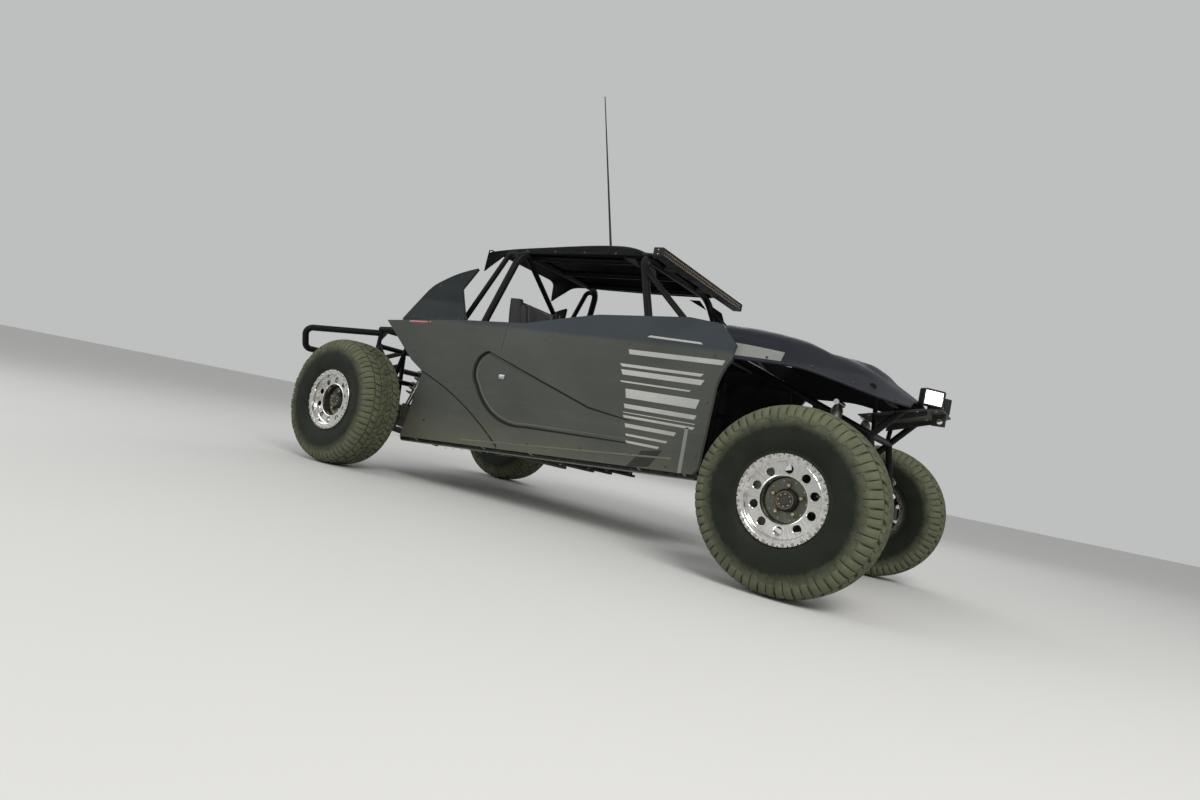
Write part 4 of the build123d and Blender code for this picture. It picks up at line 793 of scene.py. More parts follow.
def ribbon(shape, path, inner, outer, side, lift, slot, sunk=False, taper=True):
    """A strip beside a path of x and z, from one distance to another on the path's left."""
    rings = []
    count = len(path)
    for k in range(count):
        before, after = Vector(path[max(k - 1, 0)]), Vector(path[min(k + 1, count - 1)])
        along = (after - before).normalized()
        left = Vector((-along.y, along.x))
        share = math.sin(math.pi * (0.04 + 0.92 * k / (count - 1))) ** 0.5 if taper else 1.0
        here = Vector(path[k])
        a, b = here + left * inner, here + left * (inner + (outer - inner) * share)
        rings.append([
            side_face(a.x, a.y, side, -0.0004, sunk), side_face(a.x, a.y, side, lift, sunk),
            side_face(b.x, b.y, side, lift, sunk), side_face(b.x, b.y, side, -0.0004, sunk),
        ])
    shape.rings(rings, slot)


pocket_edge = arc_through((-0.475, 0.979), (-0.581, 0.880), (-0.540, 0.737), 26)
pocket_edge += arc_through((-0.540, 0.737), (-0.400, 0.590), (-0.060, 0.519), 30)[1:]
pocket_edge += [(-0.060 + 0.065 * k, 0.519 + 0.0029 * k) for k in range(1, 13)]
pocket_brow = [(0.700 - 0.06 * k, 0.690 + 0.0072 * k) for k in range(5)] + [
    (0.400 - 0.0625 * k, 0.726 + 0.01807 * k)
    for k in range(15)
]
seam = arc_through((-1.055, 0.769), (-0.640, 0.610), (-0.240, 0.366), 40)

BARS = [
    # rear x, front x, low z, high z, slant
    (0.600, 1.205, 1.072, 1.100, 0.012), (0.560, 1.090, 0.995, 1.012, 0.018), (0.575, 1.100, 0.948, 0.978, 0.018),
    (0.585, 1.040, 0.903, 0.912, 0.008), (0.632, 1.098, 0.815, 0.868, 0.014), (0.640, 1.100, 0.755, 0.780, 0.012),
    (0.646, 1.108, 0.728, 0.733, 0.004), (0.650, 1.105, 0.700, 0.714, 0.008), (0.672, 1.000, 0.646, 0.668, 0.010),
    (0.690, 0.960, 0.598, 0.611, 0.008), (0.700, 0.915, 0.558, 0.572, 0.008),
]
PATCHES = [
    # material, outline: slanting band, pale one before it, long bar, two thin stripes at the fin's foot
    (1, [(0.816, 0.531), (0.945, 0.555), (0.879, 0.451), (0.733, 0.423)]),
    (3, [(1.057, 0.704), (1.078, 0.708), (1.084, 0.456), (1.062, 0.450)]),
    (0, [(0.700, 1.186), (1.062, 1.176), (1.046, 1.188), (0.716, 1.198)]),
    (2, [(-1.300, 1.113), (-1.085, 1.124), (-1.070, 1.134), (-1.290, 1.125)]),
    (4, [(-1.255, 1.104), (-1.090, 1.113), (-1.088, 1.119), (-1.262, 1.111)]),
]
PATCHES += [(0, [(a, d), (b + e, d), (b, c), (a + e, c)]) for a, b, c, d, e in BARS]
FASTENERS = [
    (-1.42, 1.085), (-1.18, 0.905), (-0.331, 0.430), (-0.938, 0.435), (0.985, 0.472), (0.40, 0.470), (1.150, 0.560),
    (1.160, 0.86), (1.150, 1.12), (-1.10, 1.128), (-0.88, 1.142), (0.02, 1.13), (0.60, 1.135), (0.0, 0.425),
    (0.75, 0.500),
]
sill = [(-0.55 + 0.13 * k, 0.3565 + 0.13 * k * 0.1027) for k in range(13)]
latch = [
    (-0.352, 0.806), (-0.310, 0.806), (-0.306, 0.812), (-0.306, 0.830),
    (-0.310, 0.836), (-0.352, 0.836), (-0.356, 0.830), (-0.356, 0.812),
]

trim = Shape()
stripes = Shape()
for side in SIDES:
    # painted shadow of the pocket's wall round the back of the teardrop, with a painted highlight band inside it
    ribbon(trim, pocket_edge, 0.0015, 0.020, side, 0.0012, 0, sunk=True)
    # painted highlight band inside the painted shadow
    ribbon(trim, pocket_edge, 0.026, 0.036, side, 0.0010, 1, sunk=True)
    # painted shadow along the pocket's top edge
    ribbon(trim, pocket_brow, 0.0010, 0.013, side, 0.0010, 0, sunk=True)
    # joint along the curved seam, edge strip on the sill, the vertical seam behind the seats
    ribbon(trim, seam, -0.0050, 0.0050, side, 0.0006, 0, taper=False)
    ribbon(trim, sill, 0.0, 0.010, side, 0.0016, 2, taper=False)
    for joint in ([(-0.362, 1.145), (-0.364, 1.06), (-0.367, 0.985)], [(-0.362, 1.153), (-0.360, 1.182)]):
        ribbon(trim, joint, 0.0, 0.0022, side, 0.0004, 0, taper=False)
    for slot, outline in PATCHES:
        side_plate(stripes, outline, side, 0, 0.0006, slot)
    for x, z in FASTENERS:
        trim.bolt(side_face(x, z, side), (0, side, 0), (0.0085, 0.0014), (0.0050, 0.0016), 0.0012, 4, 20)
    trim.prism([(side_face(x, z, side, 0, True), (0, side, 0)) for x, z in latch], 0, 0.005, 3, 0.003)
trim.make(
    "side_trim", [groove_black, pocket_painted_highlight, edge_strip, fastener, dull_fastener], "chassis", "body_panel", angle=40,
)
stripes.make(
    "side_stripes", [decal, dark_decal, pink_decal, soft_decal, red_decal], "chassis", "body_panel", angle=40,
)


# Hood and roof: smooth shells over the CAD's stations
def shell(shape, stations, across, thickness, slots, steps=7, swell=lambda x, y: 0.0):
    """A smooth shell along X: stations of x and a half section, across gives the half section's points."""
    keys = smooth_path([Vector(row[:3]) for row in stations], steps)
    rest = smooth_path([Vector(row[3:6]) for row in stations], steps)
    outer, inner = [], []
    for a, b in zip(keys, rest):
        half = across(a, b)
        line = [Vector((a.x, -y, z)) for y, z in half] + [Vector((a.x, y, z)) for y, z in reversed(half[:-1])]
        line = [v + Vector((0, 0, swell(v.x, abs(v.y)))) for v in line]
        outer.append(line)
    count = len(outer[0])
    for row in outer:
        drop = []
        for k in range(count):
            before, after = row[max(k - 1, 0)], row[min(k + 1, count - 1)]
            along = (after - before).normalized()
            drop.append(row[k] + Vector((0, along.z, -along.y)) * thickness)
        inner.append(drop)
    first = len(shape.slots)
    shape.rings([o + list(reversed(i)) for o, i in zip(outer, inner)], slots[0])
    for number in range((len(outer) - 1) * 2 * count):
        if number % (2 * count) >= count:
            shape.slots[first + number] = slots[1]


def rounded(first, corner, last, shares):
    """A bend from first to last, drawn towards a corner."""
    return [first * (1 - t) ** 2 + corner * 2 * t * (1 - t) + last * t * t for t in shares]


def hood_half(a, b):
    """Half section of the hood from its lower edge over the rounded shoulder to the crown."""
    low, edge_y, edge_z, crown = Vector((a.y, a.z)), b.x, b.y, b.z
    corner = Vector((edge_y, edge_z))
    rise = crown - edge_z
    points = [low + (corner - low) * t for t in (0, 0.12, 0.3, 0.5, 0.68, 0.82)]
    last = corner + Vector((-edge_y, rise)) * 0.16 + Vector((0, 0.32 * rise * 0.55))
    points += rounded(points[-1], corner, last, (0.2, 0.4, 0.6, 0.8, 1.0))
    for k in range(1, 11):
        t = 0.16 + 0.84 * k / 10
        share = math.sin(math.pi * 0.5 * t) * 0.55 + 0.45 * (1 - (1 - t) ** 2)
        points.append(Vector((edge_y * (1 - t), edge_z + rise * share)))
    return [(max(p.x, 0.0), min(p.y, crown)) for p in points]


hood_stations = [
    # x, low half width, low z, edge half width, edge z, crown z
    (1.135, 0.718, 1.120, 0.664, 1.306, 1.382), (1.335, 0.702, 1.122, 0.610, 1.302, 1.374),
    (1.575, 0.642, 1.124, 0.508, 1.280, 1.339), (1.735, 0.574, 1.098, 0.438, 1.236, 1.291),
    (1.865, 0.512, 1.068, 0.382, 1.190, 1.241), (1.995, 0.442, 1.042, 0.320, 1.127, 1.167),
    (2.110, 0.355, 1.030, 0.262, 1.066, 1.096),
]


def ease(value, low, high):
    t = max(0.0, min(1.0, (value - low) / (high - low)))
    return t * t * (3 - 2 * t)


BLISTER = [
    # x, rise
    (1.0, -0.020), (1.25, -0.006), (1.45, -0.008), (1.55, -0.017), (1.63, -0.036), (1.67, -0.036),
    (1.73, -0.006), (1.78, 0.006), (1.85, 0.017), (1.91, 0.014), (1.975, 0.0), (2.2, 0.0),
]


def hood_swell(x, y):
    """The nose's raised blister, and the slight hollow behind it."""
    for (a, low), (b, high) in zip(BLISTER, BLISTER[1:]):
        if a <= x < b:
            height = low + (high - low) * ease(x, a, b)
            return height * (1 - (ease(y, 0.19, 0.25) if height > 0 else ease(y, 0.30, 0.48)))
    return 0.0


hood_lows = smooth_path([row[:3] for row in hood_stations], 8)
hood_tops = smooth_path([row[3:6] for row in hood_stations], 8)


def rolled_lip(shape, stations, side, steps, radius):
    """A round lip along a shell's lower edge."""
    shape.tube(smooth_path([(x, side * (y - 0.003), z + 0.002) for x, y, z, *_ in stations], steps), radius, 10, 0)


def hood_spot(x, share, side):
    """A place and normal on the hood's flank, share of the way up from its lower edge."""
    k = max(i for i in range(len(hood_lows) - 1) if hood_lows[i].x <= x)
    t = (x - hood_lows[k].x) / (hood_lows[k + 1].x - hood_lows[k].x)
    low, top = hood_lows[k].lerp(hood_lows[k + 1], t), hood_tops[k].lerp(hood_tops[k + 1], t)
    at = Vector((x, side * (low.y + (top.x - low.y) * share), low.z + (top.y - low.z) * share))
    return at, Vector((0, side * (top.y - low.z), low.y - top.x)).normalized()


hood = Shape()
shell(hood, hood_stations, hood_half, 0.008, (0, 1), 8, hood_swell)
for side in SIDES:
    rolled_lip(hood, hood_stations, side, 6, 0.0075)
    for x, share in ((1.20, 0.16), (1.42, 0.16), (1.64, 0.18), (1.84, 0.2), (2.04, 0.25), (1.20, 0.62)):
        at, out = hood_spot(x, share, side)
        hood.bolt(at, out, (0.0095, 0.0022), (0.0055, 0.0018), 0.0018, 2, 22)
    # plain pale plate on the hood's flank, bent to it
    rings = []
    for k in range(13):
        x = 1.225 + 0.0225 * k
        low, out = hood_spot(x, 0.10, side)
        high, _ = hood_spot(x, 0.50 - 0.06 * k / 12, side)
        rings.append([low - out * 0.001, low + out * 0.0012, high + out * 0.0012, high - out * 0.001])
    hood.rings(rings, 3)
hood_piece = hood.make("hood_shell", [shoulder, liner, dull_fastener, soft_decal], "chassis", "body_panel", angle=44)
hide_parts("hood")


def roof_half(a, b):
    """Half section of the roof: an upright edge, a rounded shoulder and a nearly flat top."""
    low, corner, crown = Vector((a.y, a.z)), Vector((b.x, b.y)), b.z
    points = [low + (corner - low) * t for t in (0, 0.15, 0.35, 0.55, 0.72)]
    last = Vector((corner.x * 0.80, corner.y + (crown - corner.y) * 0.5))
    points += rounded(points[-1], corner, last, (0.25, 0.5, 0.75, 1.0))
    for k in range(1, 7):
        t = k / 6
        points.append(Vector((last.x * (1 - t), last.y + (crown - last.y) * (1 - (1 - t) ** 2))))
    return [(max(p.x, 0.0), p.y) for p in points]


roof_stations = [
    # x, low half width, low z, top half width, top z, crown z
    (0.479, 0.480, 1.738, 0.470, 1.757, 1.760), (0.380, 0.480, 1.738, 0.432, 1.793, 1.797),
    (0.250, 0.480, 1.738, 0.360, 1.842, 1.846), (0.105, 0.480, 1.738, 0.305, 1.870, 1.874),
    (-0.10, 0.472, 1.738, 0.312, 1.866, 1.870), (-0.40, 0.455, 1.738, 0.332, 1.842, 1.846),
    (-0.728, 0.440, 1.738, 0.352, 1.812, 1.816), (-0.850, 0.435, 1.680, 0.388, 1.792, 1.796),
    (-0.957, 0.430, 1.606, 0.415, 1.772, 1.775),
]
roof_shape = Shape()
shell(roof_shape, roof_stations, roof_half, 0.007, (0, 2), 6)
for side in SIDES:
    rolled_lip(roof_shape, roof_stations, side, 5, 0.0065)
    for x in (-0.55, -0.30, -0.05, 0.20):
        roof_shape.button((x, side * 0.464, 1.757), (0, side, 0.15), 0.0075, 0.0025, 16, 1, 0.3)
lip_half = [(-0.425, 1.630), (-0.416, 1.766), (-0.395, 1.772)]
lip_line = [(-0.957, y, z) for y, z in lip_half] + [(-0.957, -y, z) for y, z in reversed(lip_half)]
roof_shape.tube(lip_line, 0.0045, 10, 0)
roof_piece = roof_shape.make("roof_shell", [roof, dull_fastener, liner], "chassis", "roof_panel", angle=40)
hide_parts("roof_panel")

# Light bar: two rows of cells behind a flat glass, a finned back and end plates
bar = Shape()
for z in (1.7065, 1.7295):
    for k in range(50):
        y = -0.6235 + 0.02545 * k
        bar.button((0.6485, y, z), (1, 0, 0), 0.0098, 0.0022, 12, 0, 0.4)
        bar.button((0.6500, y, z), (1, 0, 0), 0.0045, 0.0030, 8, 1, 0.5)
for k in range(36):
    y = -0.63 + 0.036 * k
    bar.box((0.5835, y - 0.0016, 1.6965), (0.5905, y + 0.0016, 1.7395), 2)
for side in SIDES:
    bar.box((0.592, side * 0.6495 - 0.0035, 1.6920), (0.6585, side * 0.6495 + 0.0035, 1.7440), 2, 0.002)
    for z in (1.705, 1.731):
        bar.button((0.625, side * 0.6525, z), (0, side, 0), 0.0042, 0.0022, 6, 3)
    # gusset from the roof's front edge to the bar's end
    gusset = [(0.395, 1.772), (0.470, 1.7665), (0.600, 1.7455), (0.600, 1.715), (0.505, 1.733), (0.400, 1.752)]
    for y in (0.462, 0.255):
        bar.prism([((x, side * y, z), (0, side, 0)) for x, z in gusset], 0.0, 0.0045, 2, 0.0015)
    bar.button((0.560, side * 0.4665, 1.738), (0, side, 0), 0.0075, 0.004, 6, 3)
bar.make("light_bar_cells", [amber_cell, bright_dot, plastic, fastener], "chassis", "lamp_body", angle=35)
glass = Shape()
glass.box((0.6545, -0.6375, 1.6995), (0.6570, 0.6375, 1.7365), 0, 0.001)
glass_piece = glass.make("light_bar_glass", [smoked], "chassis", "lamp_lens", angle=30)
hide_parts("light_bar_lens")

# Nose lamps: a lit grid behind glass in each pod
pods = Shape()
cover = Shape()
for side in SIDES:
    place = Matrix.Translation((2.179, side * 0.165, 1.114)) @ Matrix.Rotation(math.radians(side * 45), 4, "Z")
    for part, low, high, slot in (
        (pods, (0.0100, -0.0555, -0.0365), (0.0120, 0.0555, 0.0365), 1),
        (cover, (0.0160, -0.0558, -0.0368), (0.0182, 0.0558, 0.0368), 0),
    ):
        first = len(part.points)
        part.box(low, high, slot, 0.0006)
        part.points[first:] = [tuple(place @ Vector(p)) for p in part.points[first:]]
    for j in range(5):
        for k in range(3):
            at = place @ Vector((0.0118, -0.0435 + 0.0217 * j, -0.0235 + 0.0235 * k))
            pods.button(at, place.to_3x3() @ Vector((1, 0, 0)), 0.0102, 0.0030, 14, 0, 0.5)
    for y, z in ((-0.061, -0.042), (0.061, -0.042), (-0.061, 0.042), (0.061, 0.042)):
        at = place @ Vector((0.0198, y, z))
        pods.button(at, place.to_3x3() @ Vector((1, 0, 0)), 0.0030, 0.0014, 6, 2)
pods.make("nose_lamp_cells", [bright_cell, glow, fastener], "chassis", "lamp_body", angle=35)
cover_piece = cover.make("nose_lamp_glass", [clear], "chassis", "lamp_lens", angle=30)
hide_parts("nose_lamp_lenses")

# Tail lamps: cells behind the CAD lenses
tail = Shape()
low_corner, high_corner = (Vector(c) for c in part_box("tail_lamps"))
for side in SIDES:
    for k in range(7):
        y = side * 0.6 - 0.045 + 0.015 * k
        tail.button(
            (low_corner.x - 0.0004, y, (low_corner.z + high_corner.z) / 2 + 0.006), (-1, 0, 0), 0.0052, 0.0016, 12, 0,
            0.5,
        )
tail.make("tail_lamp_cells", [red_cell], "chassis", "tail_lamp", angle=35)


# Seats: a hard shell with padded cushions, and the harness over them
def cushion_mesh(name, corners, cuts, cap=0.022, pressure=4.0):
    """A pad from eight corners, remeshed, blown up as cloth and capped in how far it moves."""
    grid = bmesh.new()
    verts = [grid.verts.new(c) for c in corners]
    for face in BOX_FACES:
        grid.faces.new([verts[i] for i in face])
    bmesh.ops.recalc_face_normals(grid, faces=grid.faces)
    bmesh.ops.subdivide_edges(grid, edges=grid.edges, cuts=cuts, use_grid_fill=True)
    for _ in range(6):
        bmesh.ops.smooth_vert(grid, verts=grid.verts, factor=0.5, use_axis_x=True, use_axis_y=True, use_axis_z=True)
    mesh = bpy.data.meshes.new(name)
    grid.to_mesh(mesh)
    grid.free()
    obj = bpy.data.objects.new(name + "_soft", mesh)
    bpy.context.scene.collection.objects.link(obj)
    remesh = obj.modifiers.new("remesh", "REMESH")
    remesh.mode, remesh.voxel_size = "VOXEL", 0.006
    mesh = bpy.data.meshes.new_from_object(obj.evaluated_get(bpy.context.evaluated_depsgraph_get()))
    obj.modifiers.clear()
    obj.data = mesh
    rest = [v.co.copy() for v in mesh.vertices]
    cloth = obj.modifiers.new("cloth", "CLOTH")
    cloth.settings.use_pressure = True
    cloth.settings.uniform_pressure_force = pressure
    cloth.settings.effector_weights.gravity = 0.0
    cloth.point_cache.frame_start, cloth.point_cache.frame_end = 1, 20
    for step in range(1, 21):
        bpy.context.scene.frame_set(step)
    shaped = bpy.data.meshes.new_from_object(obj.evaluated_get(bpy.context.evaluated_depsgraph_get()))
    for vert, start in zip(shaped.vertices, rest):
        move = vert.co - start
        if move.length > cap:
            vert.co = start + move.normalized() * cap
    bpy.data.objects.remove(obj)
    bpy.context.scene.frame_set(1)
    shaped.name = name
    return shaped


def slab(line, y_low, y_high, thickness):
    """Eight corners of a slab over a line of two points (x, z), thick towards its upper side."""
    (ax, az), (bx, bz) = line
    along = Vector((bx - ax, bz - az)).normalized()
    out = Vector((-along.y, along.x)) * thickness
    corners = []
    for y in (y_low, y_high):
        for x, z in ((ax, az), (bx, bz)):
            corners += [(x, y, z), (x + out.x, y, z + out.y)]
    return corners


pads = {
    "seat_base": (slab([(0.158, 0.556), (-0.215, 0.502)], -0.190, 0.190, -0.058), 24),
    "seat_back": (slab([(-0.312, 0.585), (-0.398, 0.962)], -0.192, 0.192, -0.050), 24),
    "seat_upper": (slab([(-0.402, 0.985), (-0.470, 1.205)], -0.192, 0.192, -0.046), 20),
    "seat_head": (slab([(-0.474, 1.228), (-0.508, 1.372)], -0.150, 0.150, -0.048), 16),
}
pad_meshes = {}
for name, (corners, cuts) in pads.items():
    mesh = cushion_mesh(name, corners, cuts)
    mesh.materials.clear()
    mesh.materials.append(seat_cloth)
    mesh.polygons.foreach_set("use_smooth", [True] * len(mesh.polygons))
    pad_meshes[name] = mesh
for side, word in ((1, "left"), (-1, "right")):
    for name, mesh in pad_meshes.items():
        obj = Shape().make(f"{name}_{word}", [], "chassis", "seat_cover", at=(0, side * SEAT_Y, 0), data=mesh)
        # piping down the pad's edges
        piping = Shape()
        foot, a, _, b = (Vector(c) for c in pads[name][0][:4])
        out = (a - foot).normalized()
        wide = abs(foot.y)
        for edge in (-wide * 0.94, wide * 0.94):
            line = [
                a.lerp(b, 0.06 + 0.088 * t) + Vector((0, wide + edge + side * SEAT_Y, 0)) - out * 0.006
                for t in range(11)
            ]
            piping.tube(line, 0.0042, 8, 0)
        piping.make(f"{name}_piping_{word}", [webbing_dark], "chassis", "seat_cover")

shell_line = plane_path([
    (0.215, 0.585), (0.120, 0.640), (-0.150, 0.640), (-0.245, 0.715), (-0.330, 0.960), (-0.420, 1.240),
    (-0.462, 1.392),
], 6)
back_line = plane_path([
    (0.190, 0.470), (-0.060, 0.455), (-0.300, 0.445), (-0.395, 0.520), (-0.408, 0.640), (-0.470, 0.960),
    (-0.540, 1.240),
    (-0.558, 1.392),
], 6)
rear_line = plane_path([
    (0.165, 0.535), (-0.215, 0.480), (-0.330, 0.560), (-0.420, 0.960), (-0.498, 1.240), (-0.530, 1.392),
], 7)
BOLSTERS = [
    # line of x and z, radius
    ([(0.140, 0.645), (0.0, 0.648), (-0.140, 0.648)], 0.020),
    ([(-0.262, 0.745), (-0.318, 0.900), (-0.352, 1.030)], 0.021),
    ([(-0.402, 1.190), (-0.430, 1.280), (-0.452, 1.360)], 0.018),
]
WING_STATIONS = 40
wing_section = [(0, 0.35), (0.04, 0.12), (0.15, 0.0), (0.5, 0.0), (0.85, 0.0), (0.96, 0.12), (1, 0.35)]


def seat_wing(shape, inner, outer):
    """A seat's side wall between its front and back lines, rounded at both edges."""
    rings = []
    for k in range(WING_STATIONS + 1):
        p, q = (line[round(k * (len(line) - 1) / WING_STATIONS)] for line in (shell_line, back_line))
        half = [(p.lerp(q, t), (outer - inner) * d) for t, d in wing_section]
        rings.append([(m.x, inner + d, m.y) for m, d in half] + [(m.x, outer - d, m.y) for m, d in reversed(half)])
    shape.rings(rings, 0)


seat_shell = Shape()
for side in SIDES:
    centre = side * SEAT_Y
    for wing in SIDES:
        seat_wing(seat_shell, centre + wing * 0.203, centre + wing * 0.243)
    rings = []
    for k, p in enumerate(rear_line):
        along = (rear_line[min(k + 1, len(rear_line) - 1)] - rear_line[max(k - 1, 0)]).normalized()
        q = p - Vector((along.y, -along.x, 0)) * 0.014
        rings.append([(m.x, centre + y, m.y) for m, y in ((p, -0.204), (p, 0.204), (q, 0.204), (q, -0.204))])
    seat_shell.rings(rings, 0)
    for wing in SIDES:
        for line, radius in BOLSTERS:
            path = smooth_path([(x, centre + wing * 0.219, z - 0.006) for x, z in line], 6)
            count = len(path)
            radii = [radius * min(1.0, 0.35 + 3.2 * min(k, count - 1 - k) / count) for k in range(count)]
            seat_shell.tube(path, radii, 16, 1)
        # base rails and bolts
        y = centre + wing * 0.17
        seat_shell.box((-0.32, y - 0.02, 0.312), (0.14, y + 0.02, 0.330), 2, 0.003)
        seat_shell.box((-0.30, y - 0.004, 0.325), (0.12, y + 0.004, 0.50), 2, 0.001)
        for x in (-0.28, 0.10):
            seat_shell.button((x, y, 0.330), (0, 0, 1), 0.012, 0.009, 6, 3)
seat_piece = seat_shell.make(
    "seat_shells", [carbon, seat_cloth, arm_steel, fastener], "chassis", "seat_cover", angle=38,
)
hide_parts("seats")

harness = Shape()


def strap(points, width, across, thickness=0.0022, slot=0):
    """Flat webbing along points, its width along one direction."""
    line = smooth_path(points, 7)
    rings = []
    for k, p in enumerate(line):
        along = (line[min(k + 1, len(line) - 1)] - line[max(k - 1, 0)]).normalized()
        wide = Vector(across) - along * along.dot(Vector(across))
        wide = wide.normalized() * width / 2
        thick = along.cross(wide).normalized() * thickness / 2
        rings.append([p - wide - thick, p + wide - thick, p + wide + thick, p - wide + thick])
    harness.rings(rings, slot)


for side in SIDES:
    c = side * SEAT_Y
    for wing in SIDES:
        y = c + wing * 0.075
        strap([
            (-0.520, y * 0.985, 1.250), (-0.440, y, 1.262), (-0.385, y, 1.180), (-0.322, y, 0.960),
            (-0.262, c + wing * 0.055, 0.760), (-0.175, c + wing * 0.02, 0.640),
        ], 0.050, (0, 1, 0))
        harness.box((-0.372, y - 0.031, 1.100), (-0.352, y + 0.031, 1.125), 1, 0.003)
        lap = [(-0.275, 0.196, 0.575), (-0.225, 0.165, 0.630), (-0.190, 0.09, 0.640), (-0.170, 0.03, 0.632)]
        strap([(x, c + wing * out, z) for x, out, z in lap], 0.048, (0.3, 0, 1))
    strap([(-0.168, c, 0.622), (-0.110, c, 0.592), (-0.030, c, 0.583), (0.020, c, 0.578)], 0.042, (0, 1, 0))
    harness.button((-0.172, c, 0.628), (0.75, 0, 0.66), 0.032, 0.014, 28, 1, 0.35)
    harness.button((-0.162, c, 0.637), (0.75, 0, 0.66), 0.014, 0.006, 20, 2, 0.4)
harness.make("harness", [webbing, fastener, red_decal], "chassis", "seat_cover", angle=40)

# Steering wheel: round suede rim, three spokes and a quick-release hub on the column
wheel = Shape()
low, high = Vector((0.755, 0.300, 1.010)), Vector((0.395, 0.300, 1.130))
axis = (high - low).normalized()
u = Vector((0, 1, 0))
v = axis.cross(u).normalized()
rim_path = []
for k in range(72):
    a = 2 * math.pi * k / 72
    flattened = 0.94 if math.sin(a) * v.z < 0 else 1.0
    rim_path.append(high + (u * math.cos(a) + v * math.sin(a) * flattened) * 0.150)
wheel.tube(rim_path, 0.0142, 18, 0, closed=True)
for angle in (0, 180, 270):
    a = math.radians(angle)
    out = u * math.cos(a) + v * math.sin(a) * (1 if v.z > 0 else -1)
    side_way = axis.cross(out)
    rings = []
    for far, wide, lift in (
        (0.030, 0.022, -0.012), (0.075, 0.015, -0.010), (0.118, 0.013, -0.004), (0.140, 0.017, 0.0),
    ):
        p, wide, thick = high + out * far + axis * lift, side_way * wide, axis * 0.0025
        rings.append([p - wide - thick, p + wide - thick, p + wide + thick, p - wide + thick])
    wheel.rings(rings, 1)
wheel.button(high - axis * 0.022, axis, 0.044, 0.016, 36, 1, 0.3)
wheel.button(high - axis * 0.008, axis, 0.030, 0.016, 32, 2, 0.4)
for place in circle_points(high - axis * 0.007, u, v, 0.036, 6):
    wheel.button(place, axis, 0.0042, 0.003, 6, 2)
for k in SIDES:
    wheel.button(high + u * k * 0.075 - axis * 0.006, axis, 0.0085, 0.006, 18, 3, 0.4)
wheel.tube([low, low.lerp(high, 0.5), high - axis * 0.03], 0.0175, 20, 1)
wheel.tube([low.lerp(high, 0.62), low.lerp(high, 0.80)], 0.026, 24, 1)
wheel.tube([low.lerp(high, 0.86), low.lerp(high, 0.93)], 0.031, 28, 2)
wheel_piece = wheel.make("steering_wheel_rim", [grip, plastic, fastener, red_decal], "chassis", "trim", angle=35)
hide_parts("steering_wheel")


# Fittings on the chassis: weld beads, bolts, web plates and the underside's rivets
fittings = Shape()


def bead(shape, place, axis, radius, wire=0.0028, slot=0, sides=28):
    """A weld bead or ring of wire round an axis."""
    axis = Vector(axis).normalized()
    u = axis.orthogonal().normalized()
    v = axis.cross(u)
    shape.tube(circle_points(Vector(place), u, v, radius, sides), wire, 6, slot, closed=True)


def gusset(shape, corners, normal, thickness=0.004, slot=0):
    """A flat web plate through corners, centred on its plane."""
    normal = Vector(normal).normalized()
    shape.prism([(Vector(c), normal) for c in corners], -thickness / 2, thickness, slot, 0.0012)


def rail_height(x):
    return 0.285 - 0.008 + 0.1027 * (x + 0.9)


# Places that the fittings take from the CAD
ARM_ROOT_Y, KINGPIN_Y = 0.303, 0.812
ARMS = [
    # root z, outer z, half span of the roots
    (0.462, 0.333, 0.170), (0.640, 0.563, 0.180),
]
PLATE_SLOPE = (1.060 - 0.961) / (2.243 - 1.849)
FIN_EDGE = [
    (-1.374, 1.126), (-1.300, 1.270), (-1.235, 1.399), (-1.150, 1.466), (-1.055, 1.518), (-0.960, 1.553),
    (-0.884, 1.575),
]
WEBS = [
    # corners with y for the left side, normal for the left side, thickness
    (
        [(0.455, 0.512, 1.695), (0.515, 0.535, 1.600), (0.595, 0.547, 1.560), (0.560, 0.535, 1.640)], (0.2, 1, 0.25),
        0.004,
    ),
    ([(0.380, 0.500, 1.716), (0.290, 0.500, 1.716), (0.440, 0.520, 1.650)], (0, 1, 0.2), 0.004),
]
FRAME_WEBS = [
    ([(-1.745, 0.570, 1.035), (-1.745, 0.570, 0.965), (-1.670, 0.570, 1.040)], (0, 1, 0), 0.005),
    ([(-1.525, 0.570, 0.700), (-1.600, 0.570, 0.775), (-1.500, 0.570, 0.800)], (0, 1, 0), 0.005),
]
BEADS = [
    # place with y for the left side, axis, radius: hoop tubes, roof cross tubes, rear frame, bumper struts
    ((0.625, 0.574, 1.120), (0, 1, 0), 0.0235), ((0.625, 0.574, 0.900), (0, 1, 0), 0.0235),
    ((0.412, 0.36, 1.738), (1, 0, 0), 0.0235), ((-0.538, 0.36, 1.738), (1, 0, 0), 0.0235),
    ((-1.765, 0.548, 1.050), (0, 1, 0), 0.0215), ((-1.765, 0.548, 0.918), (0, 1, 0), 0.0215),
    ((-1.514, 0.548, 0.670), (0, 1, 0), 0.0215),
    ((-2.196, 0.300, 0.798), (-1, 0, -0.28), 0.0205), ((-1.790, 0.300, 0.910), (-1, 0, -0.28), 0.0205),
]
DISHES = [
    # x, y, radius, lean of the arm's face along X
    (-1.230, 0.6975, 0.030, -0.30), (-1.340, 0.719, 0.026, -0.30), (-1.110, 0.655, 0.028, -0.55),
    (-0.985, 0.593, 0.026, -0.55),
]


